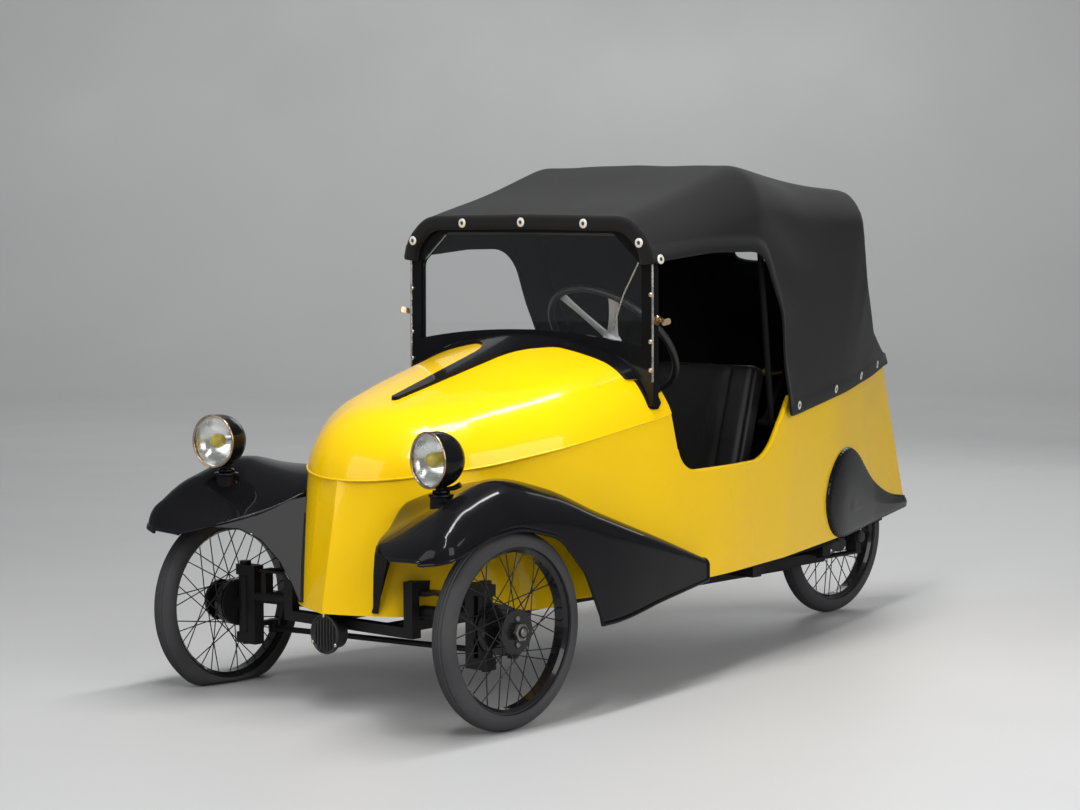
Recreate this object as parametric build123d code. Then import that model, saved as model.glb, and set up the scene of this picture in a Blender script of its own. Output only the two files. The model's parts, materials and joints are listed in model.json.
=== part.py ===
"""Three-wheeled microcar: two steered wire wheels in front, one driven wire wheel in a boat tail.

Millimetres, +X forward, +Y to the driver's left, +Z up, ground at Z 0.
Pieces are drawn with x measured from the front axle, and save() shifts them all so that
the origin lies on the ground under the middle of the car.
"""
from build123d import *
from math import atan2, cos, degrees, pi, radians, sin, sqrt, tan
import os

# Driving dimensions
TYRE_DIAMETER = 450.0
TYRE_SECTION = 55.0
WHEELBASE = 1863.0
FRONT_TRACK = 929.0
FLAT_TYRE_DROP = 26.0        # the right front tyre is soft, so its wheel stands this much lower
FENDER_REACH = 250.0         # front axle to the front lip of the fenders
TAIL_REACH = 2250.0          # front axle to the end of the tail
FRONT_AXLE_X = (TAIL_REACH - FENDER_REACH) / 2

# Body shell
HULL_BASE_Z = 220.0          # level of the lower plan outline
HULL_TOP_Z = 780.0           # level of the upper plan outline
HULL_WALL = 14.0
SEAM_Z_AT_AXLE = 545.0       # the bonnet sits on the body along one sloping plane
SEAM_RISE = 0.18
BONNET_WALL = 10.0
BONNET_ROOF_Z_AT_AXLE = 674.0
BONNET_ROOF_RISE = 0.284
BONNET_CROWN_RADIUS = 950.0
BONNET_EDGE_RADIUS = 190.0
BONNET_FLARE = 6.0           # the walls stand this far out before the round edge takes them in again
NOSE_RADIUS = 260.0
NOSE_X = 64.0                # foremost point of the bonnet before its flare
SCUTTLE_THICKNESS = 4.0
SEAT_GAP = 0.3               # clearance between pieces that lie on each other along a curve

# Cockpit cut-out and belt line, in the side view
CUT_FRONT_X = -612.0
CUT_FLOOR_Z = 512.0
CUT_REAR_X = -1232.0
BELT_FRONT_Z = 655.0
BELT_STERN_Z = 704.0
STERN_X_AT_BELT = -2105.0

# Windscreen
SCREEN_X = -590.0
SCREEN_HALF_WIDTH = 405.0
SCREEN_DEPTH = 20.0
SCREEN_BAR = 36.0
SCREEN_GAP = 1.3             # the frame stands this far inside the cloth
POST_FOOT_Z = 684.0
GLASS_SIDE_Z = 823.0
GLASS_CROWN = 32.0
GLASS_THICKNESS = 5.0

# Soft top
FABRIC = 6.0
HEM_DEPTH = 42.0
HEM_LAP = 34.0               # how far the hem hangs over the body below the belt line
BOW_RADIUS = 8.0
FRONT_BOW_X = -989.0
REAR_BOW_X = -1568.0
BOW_PIVOT = (-1190.0, 600.0)

# Running gear
RAIL_Y = 120.0
RAIL_WIDTH = 30.0
RAIL_Z = 182.0
RAIL_HEIGHT = 24.0
POST_X = 21.0                # back of the posts at the nose, just ahead of the front spring
FLOOR_Z = 240.0
FLOOR_THICKNESS = 10.0
KINGPIN_Y = 400.0
KINGPIN_RADIUS = 9.0
BEARING_GAP = 0.05           # radial clearance of a pin or spindle in its bore
SPINDLE_RADIUS = 10.0
STEERING_ARM = 90.0
SPOKE_COUNT = 36
SPOKE_RADIUS = 1.4

TYRE_R = TYRE_DIAMETER / 2
BIG = 4000.0


# Helpers

def save(name, shape):
    """Writes one sub-part, shifted from the front axle to the middle of the car."""
    os.makedirs("parts", exist_ok=True)
    export_step(shape.moved(Location((FRONT_AXLE_X, 0, 0))), f"parts/{name}.step")


def block(x0, x1, y0, y1, z0, z1):
    """Box between two corners."""
    return Pos((x0 + x1) / 2, (y0 + y1) / 2, (z0 + z1) / 2) * Box(x1 - x0, y1 - y0, z1 - z0)


def rod(start, end, radius):
    """Round bar between two points."""
    line = Vector(*end) - Vector(*start)
    return extrude(Plane(Vector(*start), z_dir=line) * Circle(radius), line.length)


def side_prism(points, radii=None, reach=BIG / 4):
    """A side-view outline (x, z), carried across the car from -reach to +reach."""
    face = make_face(Polyline(*points, close=True)) if radii is None else rounded_face(points, radii)
    return extrude(Plane.XZ * face, reach, both=True)


def rounded_face(points, radii):
    """A closed outline whose corner i is rounded by radii[i] (0 keeps it sharp)."""
    edges = []
    count = len(points)
    cut = []
    for i, point in enumerate(points):
        before, after = Vector(*points[i - 1]), Vector(*points[(i + 1) % count])
        corner = Vector(*point)
        a, b = (before - corner).normalized(), (after - corner).normalized()
        half = radians(a.get_angle(b)) / 2
        run = radii[i] / tan(half)
        middle = corner + (a + b).normalized() * (radii[i] / sin(half) - radii[i])
        cut.append((corner + a * run, middle, corner + b * run, radii[i]))
    for i in range(count):
        enter, middle, leave, radius = cut[i]
        if radius > 0:
            edges.append(ThreePointArc(enter, middle, leave))
        edges.append(Line(leave, cut[(i + 1) % count][0]))
    return make_face(edges)


def mirrored(shape):
    """The same piece on the other side of the car."""
    return mirror(shape, Plane.XZ)


# Body: two plan outlines, joined by straight lines from the lower to the upper one.
# Columns: x and half width low down, x and half width at the top, corner radius
HULL_TABLE = [
    (124.0, 0.0, 24.0, 0.0, 0.0),
    (91.0, 80.0, 28.0, 80.0, 200.0),
    (55.0, 158.0, -18.0, 158.0, 150.0),
    (-35.0, 240.0, -110.0, 258.0, 150.0),
    (-300.0, 345.0, -330.0, 372.0, 700.0),
    (-640.0, 392.0, -640.0, 406.0, 900.0),
    (-900.0, 372.0, -900.0, 396.0, 1300.0),
    (-1250.0, 302.0, -1235.0, 330.0, 1500.0),
    (-1600.0, 218.0, -1560.0, 232.0, 1500.0),
    (-1900.0, 118.0, -1830.0, 128.0, 900.0),
    (-2230.0, 18.0, -2070.0, 18.0, 14.0),
    (-2247.0, 0.0, -2081.0, 0.0, 0.0),
]


def hull_points(z, grow=0.0):
    """Half outline of the body at height z, moved outwards by grow along its normals."""
    t = (z - HULL_BASE_Z) / (HULL_TOP_Z - HULL_BASE_Z)
    raw = [(x0 + (x1 - x0) * t, y0 + (y1 - y0) * t) for x0, y0, x1, y1, _ in HULL_TABLE]
    if grow == 0:
        return raw
    lines = []
    for (xa, ya), (xb, yb) in zip(raw, raw[1:]):
        length = sqrt((xb - xa) ** 2 + (yb - ya) ** 2)
        nx, ny = -(yb - ya) / length, (xb - xa) / length
        lines.append((-nx, -ny, -(nx * xa + ny * ya) + grow))
    moved = []
    first, last = lines[0], lines[-1]
    moved.append((first[2] / first[0], 0.0))
    for (a1, b1, c1), (a2, b2, c2) in zip(lines, lines[1:]):
        det = a1 * b2 - a2 * b1
        moved.append(((c1 * b2 - c2 * b1) / det, (a1 * c2 - a2 * c1) / det))
    moved.append((last[2] / last[0], 0.0))
    return moved


def hull_half_width(x, z, grow=0.0):
    """Half width of the body at x and z, measured to the unrounded outline."""
    points = hull_points(z, grow)
    for (xa, ya), (xb, yb) in zip(points, points[1:]):
        if xb <= x <= xa:
            return ya + (yb - ya) * (x - xa) / (xb - xa)
    return 0.0


def hull_face(z, grow=0.0):
    """The body's plan outline at height z, as a face."""
    half = hull_points(z, grow)
    radii = [r for *_, r in HULL_TABLE]
    radii = [max(r + grow, 1.0) if r > 0 else 0.0 for r in radii]
    points = half + [(x, -y) for x, y in half[-2:0:-1]]
    return Pos(0, 0, z) * rounded_face(points, radii + radii[-2:0:-1])


def hull_solid(grow=0.0):
    """The body as a solid block, from below its lower edge to above its belt line."""
    return loft([hull_face(HULL_BASE_Z, grow), hull_face(HULL_TOP_Z, grow)], ruled=True)


def seam_z(x):
    """Height of the bonnet's lower edge."""
    return SEAM_Z_AT_AXLE - SEAM_RISE * x


def cut_out_profile():
    """Cockpit cut-out in the side view, open at the top, with its rounded corners."""
    lean = 88.0
    points = [(CUT_FRONT_X, 1000), (CUT_FRONT_X, 790), (CUT_FRONT_X - lean, CUT_FLOOR_Z),
              (CUT_REAR_X + 127, CUT_FLOOR_Z), (CUT_REAR_X, BELT_FRONT_Z + 12), (CUT_REAR_X, 1000)]
    return points, [0, 60, 85, 150, 0, 0]


def lower_body():
    """Nose, sides and tail: the yellow tub below the bonnet, without its floor."""
    ring = hull_solid() - hull_solid(-HULL_WALL)
    axle_notch = [(64, 237), (22, 315), (-130, 315), (-168, 241)]
    below = [(140, 227), (100, 229)] + axle_notch + [(CUT_REAR_X, 248), (-2300, 276)]
    above = [(-2300, BELT_STERN_Z), (STERN_X_AT_BELT, BELT_STERN_Z), (CUT_REAR_X, BELT_FRONT_Z),
             (CUT_REAR_X + 250, BELT_FRONT_Z + 120), (-690, seam_z(-690)), (140, seam_z(140))]
    kept = ring & side_prism(below + above)
    return kept - side_prism(*cut_out_profile())


def bonnet_plan(grow=0.0):
    """The bonnet's plan outline: a round nose that runs back into the body's sides."""
    seam_level = SEAM_Z_AT_AXLE + 40
    side = [(x, y) for x, y in hull_points(seam_level, grow) if -700 < x < -200]
    shoulder = 205.0
    drop = NOSE_RADIUS - sqrt(NOSE_RADIUS ** 2 - shoulder ** 2)
    rear = (-700.0, hull_half_width(-700.0, seam_level, grow))
    cheek = (-128.0, 291.0 + grow)
    reach = NOSE_RADIUS + grow
    nose_centre = NOSE_X - NOSE_RADIUS
    angle = atan2(shoulder, NOSE_RADIUS - drop)
    shoulder_point = (nose_centre + reach * cos(angle), reach * sin(angle))
    nose = ThreePointArc((shoulder_point[0], -shoulder_point[1]), (NOSE_X + grow, 0), shoulder_point)
    half = [shoulder_point, cheek] + side + [rear]
    left = FilletPolyline(*half, radius=[260] + [600] * len(side))
    right = FilletPolyline(*[(x, -y) for x, y in half], radius=[260] + [600] * len(side))
    back = Line((rear[0], -rear[1]), rear)
    return make_face([nose, *left.edges(), back, *right.edges()])


def bonnet_solid(grow=0.0):
    """The bonnet as a solid: its plan, under a crowned sloping roof, with a round upper edge."""
    walls = extrude(Pos(0, 0, 400) * bonnet_plan(grow + BONNET_FLARE), 700)
    slope = atan2(BONNET_ROOF_RISE, 1)
    lift = grow - BONNET_CROWN_RADIUS
    on_axis = Vector(lift * sin(slope), 0, BONNET_ROOF_Z_AT_AXLE + lift * cos(slope))
    along = Vector(-cos(slope), 0, sin(slope))
    roof = extrude(Plane(on_axis - along * BIG / 4, z_dir=along) * Circle(BONNET_CROWN_RADIUS + grow), BIG / 2)
    solid = walls & roof
    rear_x = solid.bounding_box().min.X
    rim = [e for e in solid.edges()
           if e.center().Z > 560 and abs(e.center().X - rear_x) > 1
           and e.length > 1 and not is_upright(e)]
    return fillet(rim, BONNET_EDGE_RADIUS + grow)


def is_upright(edge):
    """True for an edge that runs straight up."""
    return abs(edge.tangent_at(0.5).Z) > 0.98


def above_seam():
    """The space over the bonnet's joint and ahead of the cockpit cut-out."""
    return side_prism([(200, seam_z(200)), (200, 1200), (-690, 1200), (-690, seam_z(-690))])


def bonnet():
    """The bonnet panel, from the round nose to the cockpit cut-out."""
    skin = bonnet_solid() - bonnet_solid(-BONNET_WALL)
    return (skin & above_seam()) - side_prism(*cut_out_profile())


# Black scuttle band under the windscreen and the spear that runs forward from it
SPEAR_TIP_X = -112.0
SPEAR_HALF_WIDTH = 46.0


def scuttle_skin():
    """A thin layer lying on the bonnet."""
    return bonnet_solid(SCUTTLE_THICKNESS) - bonnet_solid()


def scuttle(skin):
    """Band across the foot of the windscreen, with its spear along the middle of the bonnet."""
    half = [(SPEAR_TIP_X, 10), (-480, SPEAR_HALF_WIDTH), (-540, 130), (-556, 430), (-606, 430)]
    plan = rounded_face(half + [(x, -y) for x, y in reversed(half)],
                        [9, 120, 60, 0, 0, 0, 0, 60, 120, 9])
    piece = skin & extrude(Pos(0, 0, 600) * plan, 400)
    return piece - block(-700, 0, 300, 600, 500, 748) - block(-700, 0, -600, -300, 500, 748)


def screen_brackets(skin):
    """Plates on the body sides that carry the windscreen posts."""
    shape = [(-572, 745), (-608, 745), (-618, 690), (-604, 676), (-580, 676)]
    plates = skin & side_prism(shape, [0, 0, 10, 10, 10])
    return plates - extrude(Pos(0, 0, 600) * Rectangle(3000, 640), 500)


# Soft top: sections across the car. Columns: x, half width of the hem, height of the hem,
# half width and height of the shoulder, half width and height of the roof
HEM = FABRIC + 3.0


def belt_z(x):
    """Height of the body's upper edge behind the cockpit."""
    t = (CUT_REAR_X - x) / (CUT_REAR_X - STERN_X_AT_BELT)
    return BELT_FRONT_Z + (BELT_STERN_Z - BELT_FRONT_Z) * t


def hem_width(x):
    """Half width at which the hem clears the body's sides."""
    return max(hull_half_width(x, belt_z(x)), hull_half_width(x, belt_z(x) - HEM_LAP)) + HEM


TOP_TABLE = [
    (-566.0, 412.0, 640.0, 411.0, 1036.0, 296.0, 1138.0),
    (-989.0, 408.0, 640.0, 404.0, 1166.0, 305.0, 1263.0),
    (-1232.0, hem_width(-1232), belt_z(-1232) - HEM_LAP, 366.0, 1146.0, 283.0, 1233.0),
    (-1400.0, hem_width(-1400), belt_z(-1400) - HEM_LAP, 340.0, 1134.0, 272.0, 1214.0),
    (-1568.0, hem_width(-1568), belt_z(-1568) - HEM_LAP, 316.0, 1130.0, 262.0, 1200.0),
    (-1660.0, hem_width(-1660), belt_z(-1660) - HEM_LAP, 268.0, 962.0, 222.0, 1004.0),
    (-1860.0, hem_width(-1860), belt_z(-1860) - HEM_LAP, 146.0, 806.0, 112.0, 846.0),
    (-2128.0, 34.0, belt_z(-2105) - HEM_LAP, 30.0, 706.0, 18.0, 724.0),
]
TOP_RADII = [72.0, 58.0, 55.0, 48.0, 40.0, 36.0, 24.0, 6.0]


def top_section(row, radius, inset=0.0, floor_z=None):
    """One section of the soft top as a face across the car."""
    x, hem_w, hem_z, side_w, side_z, roof_w, roof_z = row
    base = hem_z - (40 if inset else 0) if floor_z is None else floor_z
    half = [(hem_w - inset, base), (side_w - inset, side_z - inset * 0.4), (roof_w - inset * 0.4, roof_z - inset)]
    points = half + [(-y, z) for y, z in reversed(half)]
    round_off = max(radius - inset, 1.0)
    face = rounded_face(points, [0, round_off, round_off, round_off, round_off, 0])
    return Plane(origin=(x, 0, 0), x_dir=(0, 1, 0), z_dir=(1, 0, 0)) * face


def top_solid(inset=0.0):
    """The soft top as a solid: straight cloth stretched from section to section."""
    rows = [list(row) for row in TOP_TABLE]
    if inset:
        rows[0][0] += 12
        rows[-1][0] += inset + 2
    return loft([top_section(r, q, inset) for r, q in zip(rows, TOP_RADII)], ruled=True)


def side_opening():
    """The openings beside the seats; on the right the cloth hangs further forward."""
    left = [(-480, 400), (-480, 1014), (-600, 1018), (-790, 1046), (-1090, 1046), (-1196, 900),
            (CUT_REAR_X, 640), (CUT_REAR_X, 400)]
    right = [(-480, 400), (-480, 1014), (-600, 1018), (-790, 1046), (-985, 1046), (-1010, 930),
             (-1060, 780), (CUT_REAR_X, 640), (CUT_REAR_X, 400)]
    left_cut = side_prism(left, [0, 0, 100, 200, 110, 120, 0, 0]) & block(-2000, 0, 0, 900, 300, 1300)
    right_cut = side_prism(right, [0, 0, 100, 200, 70, 120, 120, 0, 0]) & block(-2000, 0, -900, 0, 300, 1300)
    return left_cut + right_cut


def window_cut():
    """The rear window, carried along the car through the back of the soft top."""
    points = [(-200, 1002), (200, 1002), (178, 1096), (-178, 1096)]
    face = rounded_face(points, [18, 18, 18, 18])
    return extrude(Plane(origin=(-1900, 0, 0), x_dir=(0, 1, 0), z_dir=(1, 0, 0)) * face, 330)


def soft_top():
    """Cloth roof, sides and back, with its side openings, rear window and front hem."""
    outer = top_solid()
    shell = outer - top_solid(FABRIC)
    hem_back = SCREEN_X + SCREEN_DEPTH / 2 + SEAT_GAP
    hem_slab = outer & block(hem_back, hem_back + 40, -600, 600, 500, 1300)
    hem_hole = extrude(top_section(TOP_TABLE[0], TOP_RADII[0], HEM_DEPTH, 300), 60, both=True)
    return shell + (hem_slab - hem_hole) - side_opening() - window_cut()


def rear_window():
    """Clear pane sewn into the back of the soft top."""
    pane = top_solid(1.5) - top_solid(FABRIC - 1.5)
    return pane & window_cut()


def hoop(base, shoulder, roof):
    """Round-tube bow from one pivot over to the other."""
    half = [base, shoulder, roof]
    path = FilletPolyline(*half, *[(x, -y, z) for x, y, z in reversed(half)], radius=55)
    start = Plane(origin=path @ 0, z_dir=path % 0)
    return sweep(start * Circle(BOW_RADIUS), path)


def hood_frame():
    """Both bows and the pivot bolts that hold them to the body sides."""
    px, pz = BOW_PIVOT
    front = hoop((px, 296, pz), (-1020, 378, 1142), (FRONT_BOW_X, 296, 1243))
    rear = hoop((px, 272, pz), (-1512, 296, 1100), (REAR_BOW_X + 18, 246, 1177))
    bolt = rod((px, -400, pz), (px, 400, pz), 9) & hull_solid(-HULL_WALL)
    bolt = bolt - block(px - 50, px + 50, -258, 258, pz - 50, pz + 50)
    return front + rear + bolt


# Windscreen

def screen_outline(inset, bottom):
    """The frame's outline, set inside the hem of the soft top."""
    return top_section((SCREEN_X,) + tuple(TOP_TABLE[0][1:]), TOP_RADII[0], inset, bottom)


def screen_opening(inset):
    """The glass outline: the frame inside its bars, with an arched lower edge."""
    low = GLASS_SIDE_Z + inset
    face = screen_outline(FABRIC + SCREEN_GAP + SCREEN_BAR + inset, low)
    half = SCREEN_HALF_WIDTH - SCREEN_BAR
    radius = (half ** 2 + GLASS_CROWN ** 2) / (2 * GLASS_CROWN)
    hump = Plane(origin=(SCREEN_X, 0, low + GLASS_CROWN - radius), x_dir=(0, 1, 0), z_dir=(1, 0, 0)) * Circle(radius)
    return face - hump


def windscreen_frame():
    """Black frame, standing on the scuttle."""
    frame = extrude(screen_outline(FABRIC + SCREEN_GAP, POST_FOOT_Z), SCREEN_DEPTH / 2, both=True)
    frame = frame - extrude(screen_opening(0.0), SCREEN_DEPTH, both=True)
    return frame - bonnet_solid(SCUTTLE_THICKNESS + SEAT_GAP) - side_prism(*cut_out_profile(), reach=390)


def windscreen_glass():
    """Flat pane in the frame."""
    return extrude(screen_opening(SEAT_GAP), GLASS_THICKNESS / 2, both=True)


def wing_nuts():
    """Wing nuts on the outer faces of both posts."""
    y0 = TOP_TABLE[0][1] - FABRIC - SCREEN_GAP
    nut = rod((SCREEN_X, y0, 889), (SCREEN_X, y0 + 20, 889), 6)
    nut = nut + rod((SCREEN_X, y0, 889), (SCREEN_X, y0 + 4, 889), 12)
    for sign in (-1, 1):
        wing = Box(24, 3.5, 15)
        wing = fillet(wing.edges().filter_by(Axis.Y), 6)
        nut = nut + Pos(SCREEN_X + sign * 14, y0 + 19, 889 + sign * 4) * Rot(0, -sign * 16, sign * 25) * wing
    return Compound([nut.solid(), mirrored(nut).solid()])


# Front fenders. Columns: x, inner edge y and z, outer shoulder y and z, lower edge y and z,
# shoulder radius
FENDER_TABLE = [
    (FENDER_REACH, 350.0, 398.0, 440.0, 402.0, 441.0, 388.0, 8.0),
    (232.0, 306.0, 408.0, 482.0, 440.0, 484.0, 340.0, 32.0),
    (205.0, 268.0, 420.0, 503.0, 476.0, 505.0, 300.0, 56.0),
    (125.0, 221.0, 441.0, 506.0, 560.0, 508.0, 250.0, 85.0),
    (0.0, 165.0, 492.0, 506.0, 584.0, 508.0, 205.0, 95.0),
    (-150.0, 250.0, 535.0, 502.0, 526.0, 504.0, 206.0, 80.0),
    (-320.0, 300.0, 468.0, 494.0, 458.0, 496.0, 208.0, 56.0),
    (-560.0, 350.0, 378.0, 462.0, 376.0, 462.0, 234.0, 34.0),
    (-768.0, 370.0, 302.0, 424.0, 302.0, 424.0, 253.0, 14.0),
]
FENDER_SHEET = 4.0
FENDER_STATIONS = [FENDER_REACH, 243, 232, 219, 205, 180, 155, 125, 85, 45, 0, -50, -100, -150, -235, -320,
                   -400, -480, -560, -670, -768]


def smooth_rows(table, stations):
    """Reads a table whose first column falls steadily, at more stations, without overshoot.

    Each column follows a cubic between rows; its slope at a row is the harmonic mean of the
    slopes on both sides, or zero where they differ in sign.
    """
    xs = [row[0] for row in table]
    columns = list(zip(*table))[1:]
    rows = []
    for x in stations:
        k = min(max(i for i, at in enumerate(xs) if at >= x), len(xs) - 2)
        row = [x]
        for values in columns:
            steep = [(b - a) / (xb - xa) for a, b, xa, xb in zip(values, values[1:], xs, xs[1:])]
            bend = [steep[0]] + [2 * p * q / (p + q) if p * q > 0 else 0.0 for p, q in zip(steep, steep[1:])]
            bend = bend + [steep[-1]]
            run = xs[k + 1] - xs[k]
            t = (x - xs[k]) / run
            row.append((1 + 2 * t) * (1 - t) ** 2 * values[k] + t * (1 - t) ** 2 * run * bend[k]
                       + t * t * (3 - 2 * t) * values[k + 1] + t * t * (t - 1) * run * bend[k + 1])
        rows.append(row)
    return rows


def outward(ya, za, yb, zb):
    """Unit normal on the outer side of a line in a section across the fender."""
    length = sqrt((yb - ya) ** 2 + (zb - za) ** 2)
    return -(zb - za) / length, (yb - ya) / length


def fender_block(inset=0.0):
    """A left fender as a solid, or the hollow under its sheet."""
    faces = []
    for x, yi, zi, ys, zs, yl, zl, r in smooth_rows(FENDER_TABLE, FENDER_STATIONS):
        if inset:
            x += 6.0 if x == FENDER_STATIONS[0] else -6.0 if x == FENDER_STATIONS[-1] else 0.0
        out = 20.0 if inset else 0.0
        top_y, top_z = outward(yi, zi, ys, zs)
        wall_y, wall_z = outward(ys, zs, yl, zl)
        share = inset / (1 + top_y * wall_y + top_z * wall_z)
        inner = (yi - inset * top_y - out * top_z, zi - inset * top_z + out * top_y)
        shoulder = (ys - share * (top_y + wall_y), zs - share * (top_z + wall_z))
        lower = (yl - inset * wall_y + out * wall_z, zl - inset * wall_z - out * wall_y)
        face = rounded_face([inner, shoulder, lower, (inner[0], lower[1])], [0, max(r - inset, 2), 0, 0])
        faces.append(Plane(origin=(x, 0, 0), x_dir=(0, 1, 0), z_dir=(1, 0, 0)) * face)
    return loft(faces, ruled=True)


def wheel_arch():
    """Outline of the open wheel arch in the fender's outer side."""
    points = [(-298, 100), (-282, 226), (-224, 335), (-134, 424), (0, 456), (95, 446), (180, 417), (270, 388), (330, 100)]
    return extrude(Plane.XZ * rounded_face(points, [0, 30, 90, 120, 200, 200, 200, 0, 0]), -700)


def fender_left():
    """Clamshell fender: pressed sheet from the front lip to the flat skirt behind the wheel."""
    outside = fender_block() - hull_solid(SEAT_GAP) - bonnet_solid(SEAT_GAP)
    return outside - fender_block(FENDER_SHEET) - wheel_arch()


def fender_valances(sheet):
    """Sheets from under the fenders down the nose to its low corners."""
    corners = [(5, 150, 482), (212, 282, 432), (204, 272, 414), (168, 226, 410), (136, 188, 384), (109, 156, 335),
               (90, 135, 282), (78, 122, 238), (30, 80, 238)]
    across = Vector(*corners[1]) - Vector(*corners[0])
    down = Vector(*corners[-2]) - Vector(*corners[0])
    flat = Plane(origin=corners[0], x_dir=across, z_dir=across.cross(down))
    outline = [flat.to_local_coords(Vector(*c)) for c in corners]
    plate = extrude(flat * make_face(Polyline(*[(p.X, p.Y) for p in outline], close=True)), FENDER_SHEET)
    left = plate - sheet - hull_solid(SEAT_GAP)
    left = min(left.solids(), key=lambda piece: piece.center().Z)
    return Compound([left, mirrored(left).solid()])


# Headlamps
LAMP_X = 135.0
LAMP_Y = 357.0
LAMP_Z = 605.0
LAMP_RADIUS = 63.0
LAMP_TOE_IN = 8.0


def lamp_place(shape):
    """Both lamps: drawn with the lens at the origin facing +X, then turned in and moved out."""
    left = Pos(LAMP_X, LAMP_Y, LAMP_Z) * Rot(0, 0, -LAMP_TOE_IN) * shape
    return Compound([left.solid(), mirrored(left).solid()])


def dome_arc(rim_x, rim_r, pole_x):
    """Arc of a sphere centred on the X axis, from its rim to its pole."""
    rise = pole_x - rim_x
    radius = (rim_r ** 2 + rise ** 2) / (2 * rise)
    centre = pole_x - radius
    half = atan2(rim_r, (rim_x - centre) * (1 if rise > 0 else -1)) / 2
    middle = (centre + radius * cos(half), abs(radius) * sin(half))
    return ThreePointArc((rim_x, rim_r), middle, (pole_x, 0))


def lamp_bowl(inset):
    """The lamp's round bowl as a solid of revolution."""
    r = LAMP_RADIUS - inset
    back = -86.0 + inset
    profile = [Line((inset, 0), (inset, r)), Line((inset, r), (-24, r)), dome_arc(-24, r, back), Line((back, 0), (inset, 0))]
    return revolve(Plane.XY * make_face(profile), Axis.X)


def lamp_shell():
    """Bowl with its front ring, open for the lens."""
    return lamp_bowl(0) - lamp_bowl(4)


def lamp_lens():
    """Slightly domed clear lens."""
    profile = [Line((-5, 0), (-5, 58.7)), Line((-5, 58.7), (-1, 58.7)), dome_arc(-1, 58.7, 8), Line((8, 0), (-5, 0))]
    return revolve(Plane.XY * make_face(profile), Axis.X)


def lamp_reflector():
    """Bright dish behind the lens, with the bulb's cap in its middle."""
    outer = [Line((-7, 0), (-7, 58.7)), dome_arc(-7, 58.7, -48), Line((-48, 0), (-7, 0))]
    inner = [Line((-6, 0), (-6, 57.2)), dome_arc(-6, 57.2, -45), Line((-45, 0), (-6, 0))]
    dish = revolve(Plane.XY * make_face(outer), Axis.X) - revolve(Plane.XY * make_face(inner), Axis.X)
    return dish + rod((-47, 0, 0), (-16, 0, 0), 9) + Pos(-16, 0, 0) * Sphere(9)


def lamp_stands(fender_fill):
    """Foot on the fender and short stalk up to the lamp."""
    x = LAMP_X - 40
    foot = rod((x, LAMP_Y, 440), (x, LAMP_Y, 526), 26) + rod((x, LAMP_Y, 440), (x, LAMP_Y, 592), 12)
    bowl = Pos(LAMP_X, LAMP_Y, LAMP_Z) * Rot(0, 0, -LAMP_TOE_IN) * lamp_bowl(0)
    foot = foot - bowl - fender_fill
    left = max(foot.solids(), key=lambda s: s.volume)
    return Compound([left, mirrored(left).solid()])


# Tail

def tail_spats():
    """Black teardrop covers over the rear wheel, joined round the stern."""
    points = [(-1470, 372), (-1552, 250), (-2320, 277), (-2320, 296), (-2060, 326), (-1880, 392), (-1760, 486),
              (-1660, 512), (-1560, 478)]
    skin = hull_solid(9) - hull_solid()
    return skin & side_prism(points, [70, 14, 0, 0, 200, 150, 90, 80, 80])


# Running gear under the body

def wheel_rim():
    """Wire wheel about the Y axis: rim, spokes, hub with drum, outer end at +Y."""
    rim = [(-20, 187), (-20, 181), (-13, 174), (13, 174), (20, 181), (20, 187), (17, 187), (17, 183), (10, 177),
           (-10, 177), (-17, 183), (-17, 187)]
    hub = [(-36, 10), (-36, 56), (-14, 56), (-14, 24), (26, 24), (26, 50), (31, 50), (31, 20), (40, 20), (40, 10)]
    grown = [(y, r + (BEARING_GAP if r == 10 else 0)) for y, r in hub]
    wheel = revolve(Plane.XY * make_face(Polyline(*[(r, y) for y, r in rim], close=True)), Axis.Y)
    wheel = wheel + revolve(Plane.XY * make_face(Polyline(*[(r, y) for y, r in grown], close=True)), Axis.Y)
    spokes = []
    for i in range(SPOKE_COUNT):
        outer = i % 2 == 0
        turn = 1 if (i // 2) % 2 == 0 else -1
        at_rim = 2 * pi * i / SPOKE_COUNT
        at_hub = at_rim + turn * radians(58)
        flange = (26.5 if turn > 0 else 30.5) if outer else (-16.0 if turn > 0 else -20.0)
        seat = 47.0 if outer else 53.0
        rim_y = 3.0 if outer else -3.0
        spokes.append(rod((seat * cos(at_hub), flange, seat * sin(at_hub)),
                          (175.5 * cos(at_rim), rim_y, 175.5 * sin(at_rim)), SPOKE_RADIUS))
    return wheel.fuse(*spokes)


def tyre():
    """Round tyre about the Y axis, cut off where it sits in the rim."""
    ring = Torus(TYRE_R - TYRE_SECTION / 2, TYRE_SECTION / 2)
    ring = Rot(90, 0, 0) * ring
    bead = [(-17, 183), (-10, 177), (10, 177), (17, 183), (17, 187), (20, 187), (20, 160), (-20, 160), (-20, 187),
            (-17, 187)]
    rim_space = revolve(Plane.XY * make_face(Polyline(*[(r, y) for y, r in bead], close=True)), Axis.Y)
    return ring - rim_space - Rot(90, 0, 0) * Cylinder(177, 80)


def flat_tyre():
    """The soft tyre: cut level where it meets the ground, with its walls bulging there."""
    ground = -(TYRE_R - FLAT_TYRE_DROP)
    bulge = Pos(0, 0, ground + 12) * scale(Sphere(1), by=(114, 35, 30))
    whole = tyre() + (bulge - Rot(90, 0, 0) * Cylinder(188, 100))
    return whole - block(-300, 300, -100, 100, ground - 100, ground)


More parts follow.
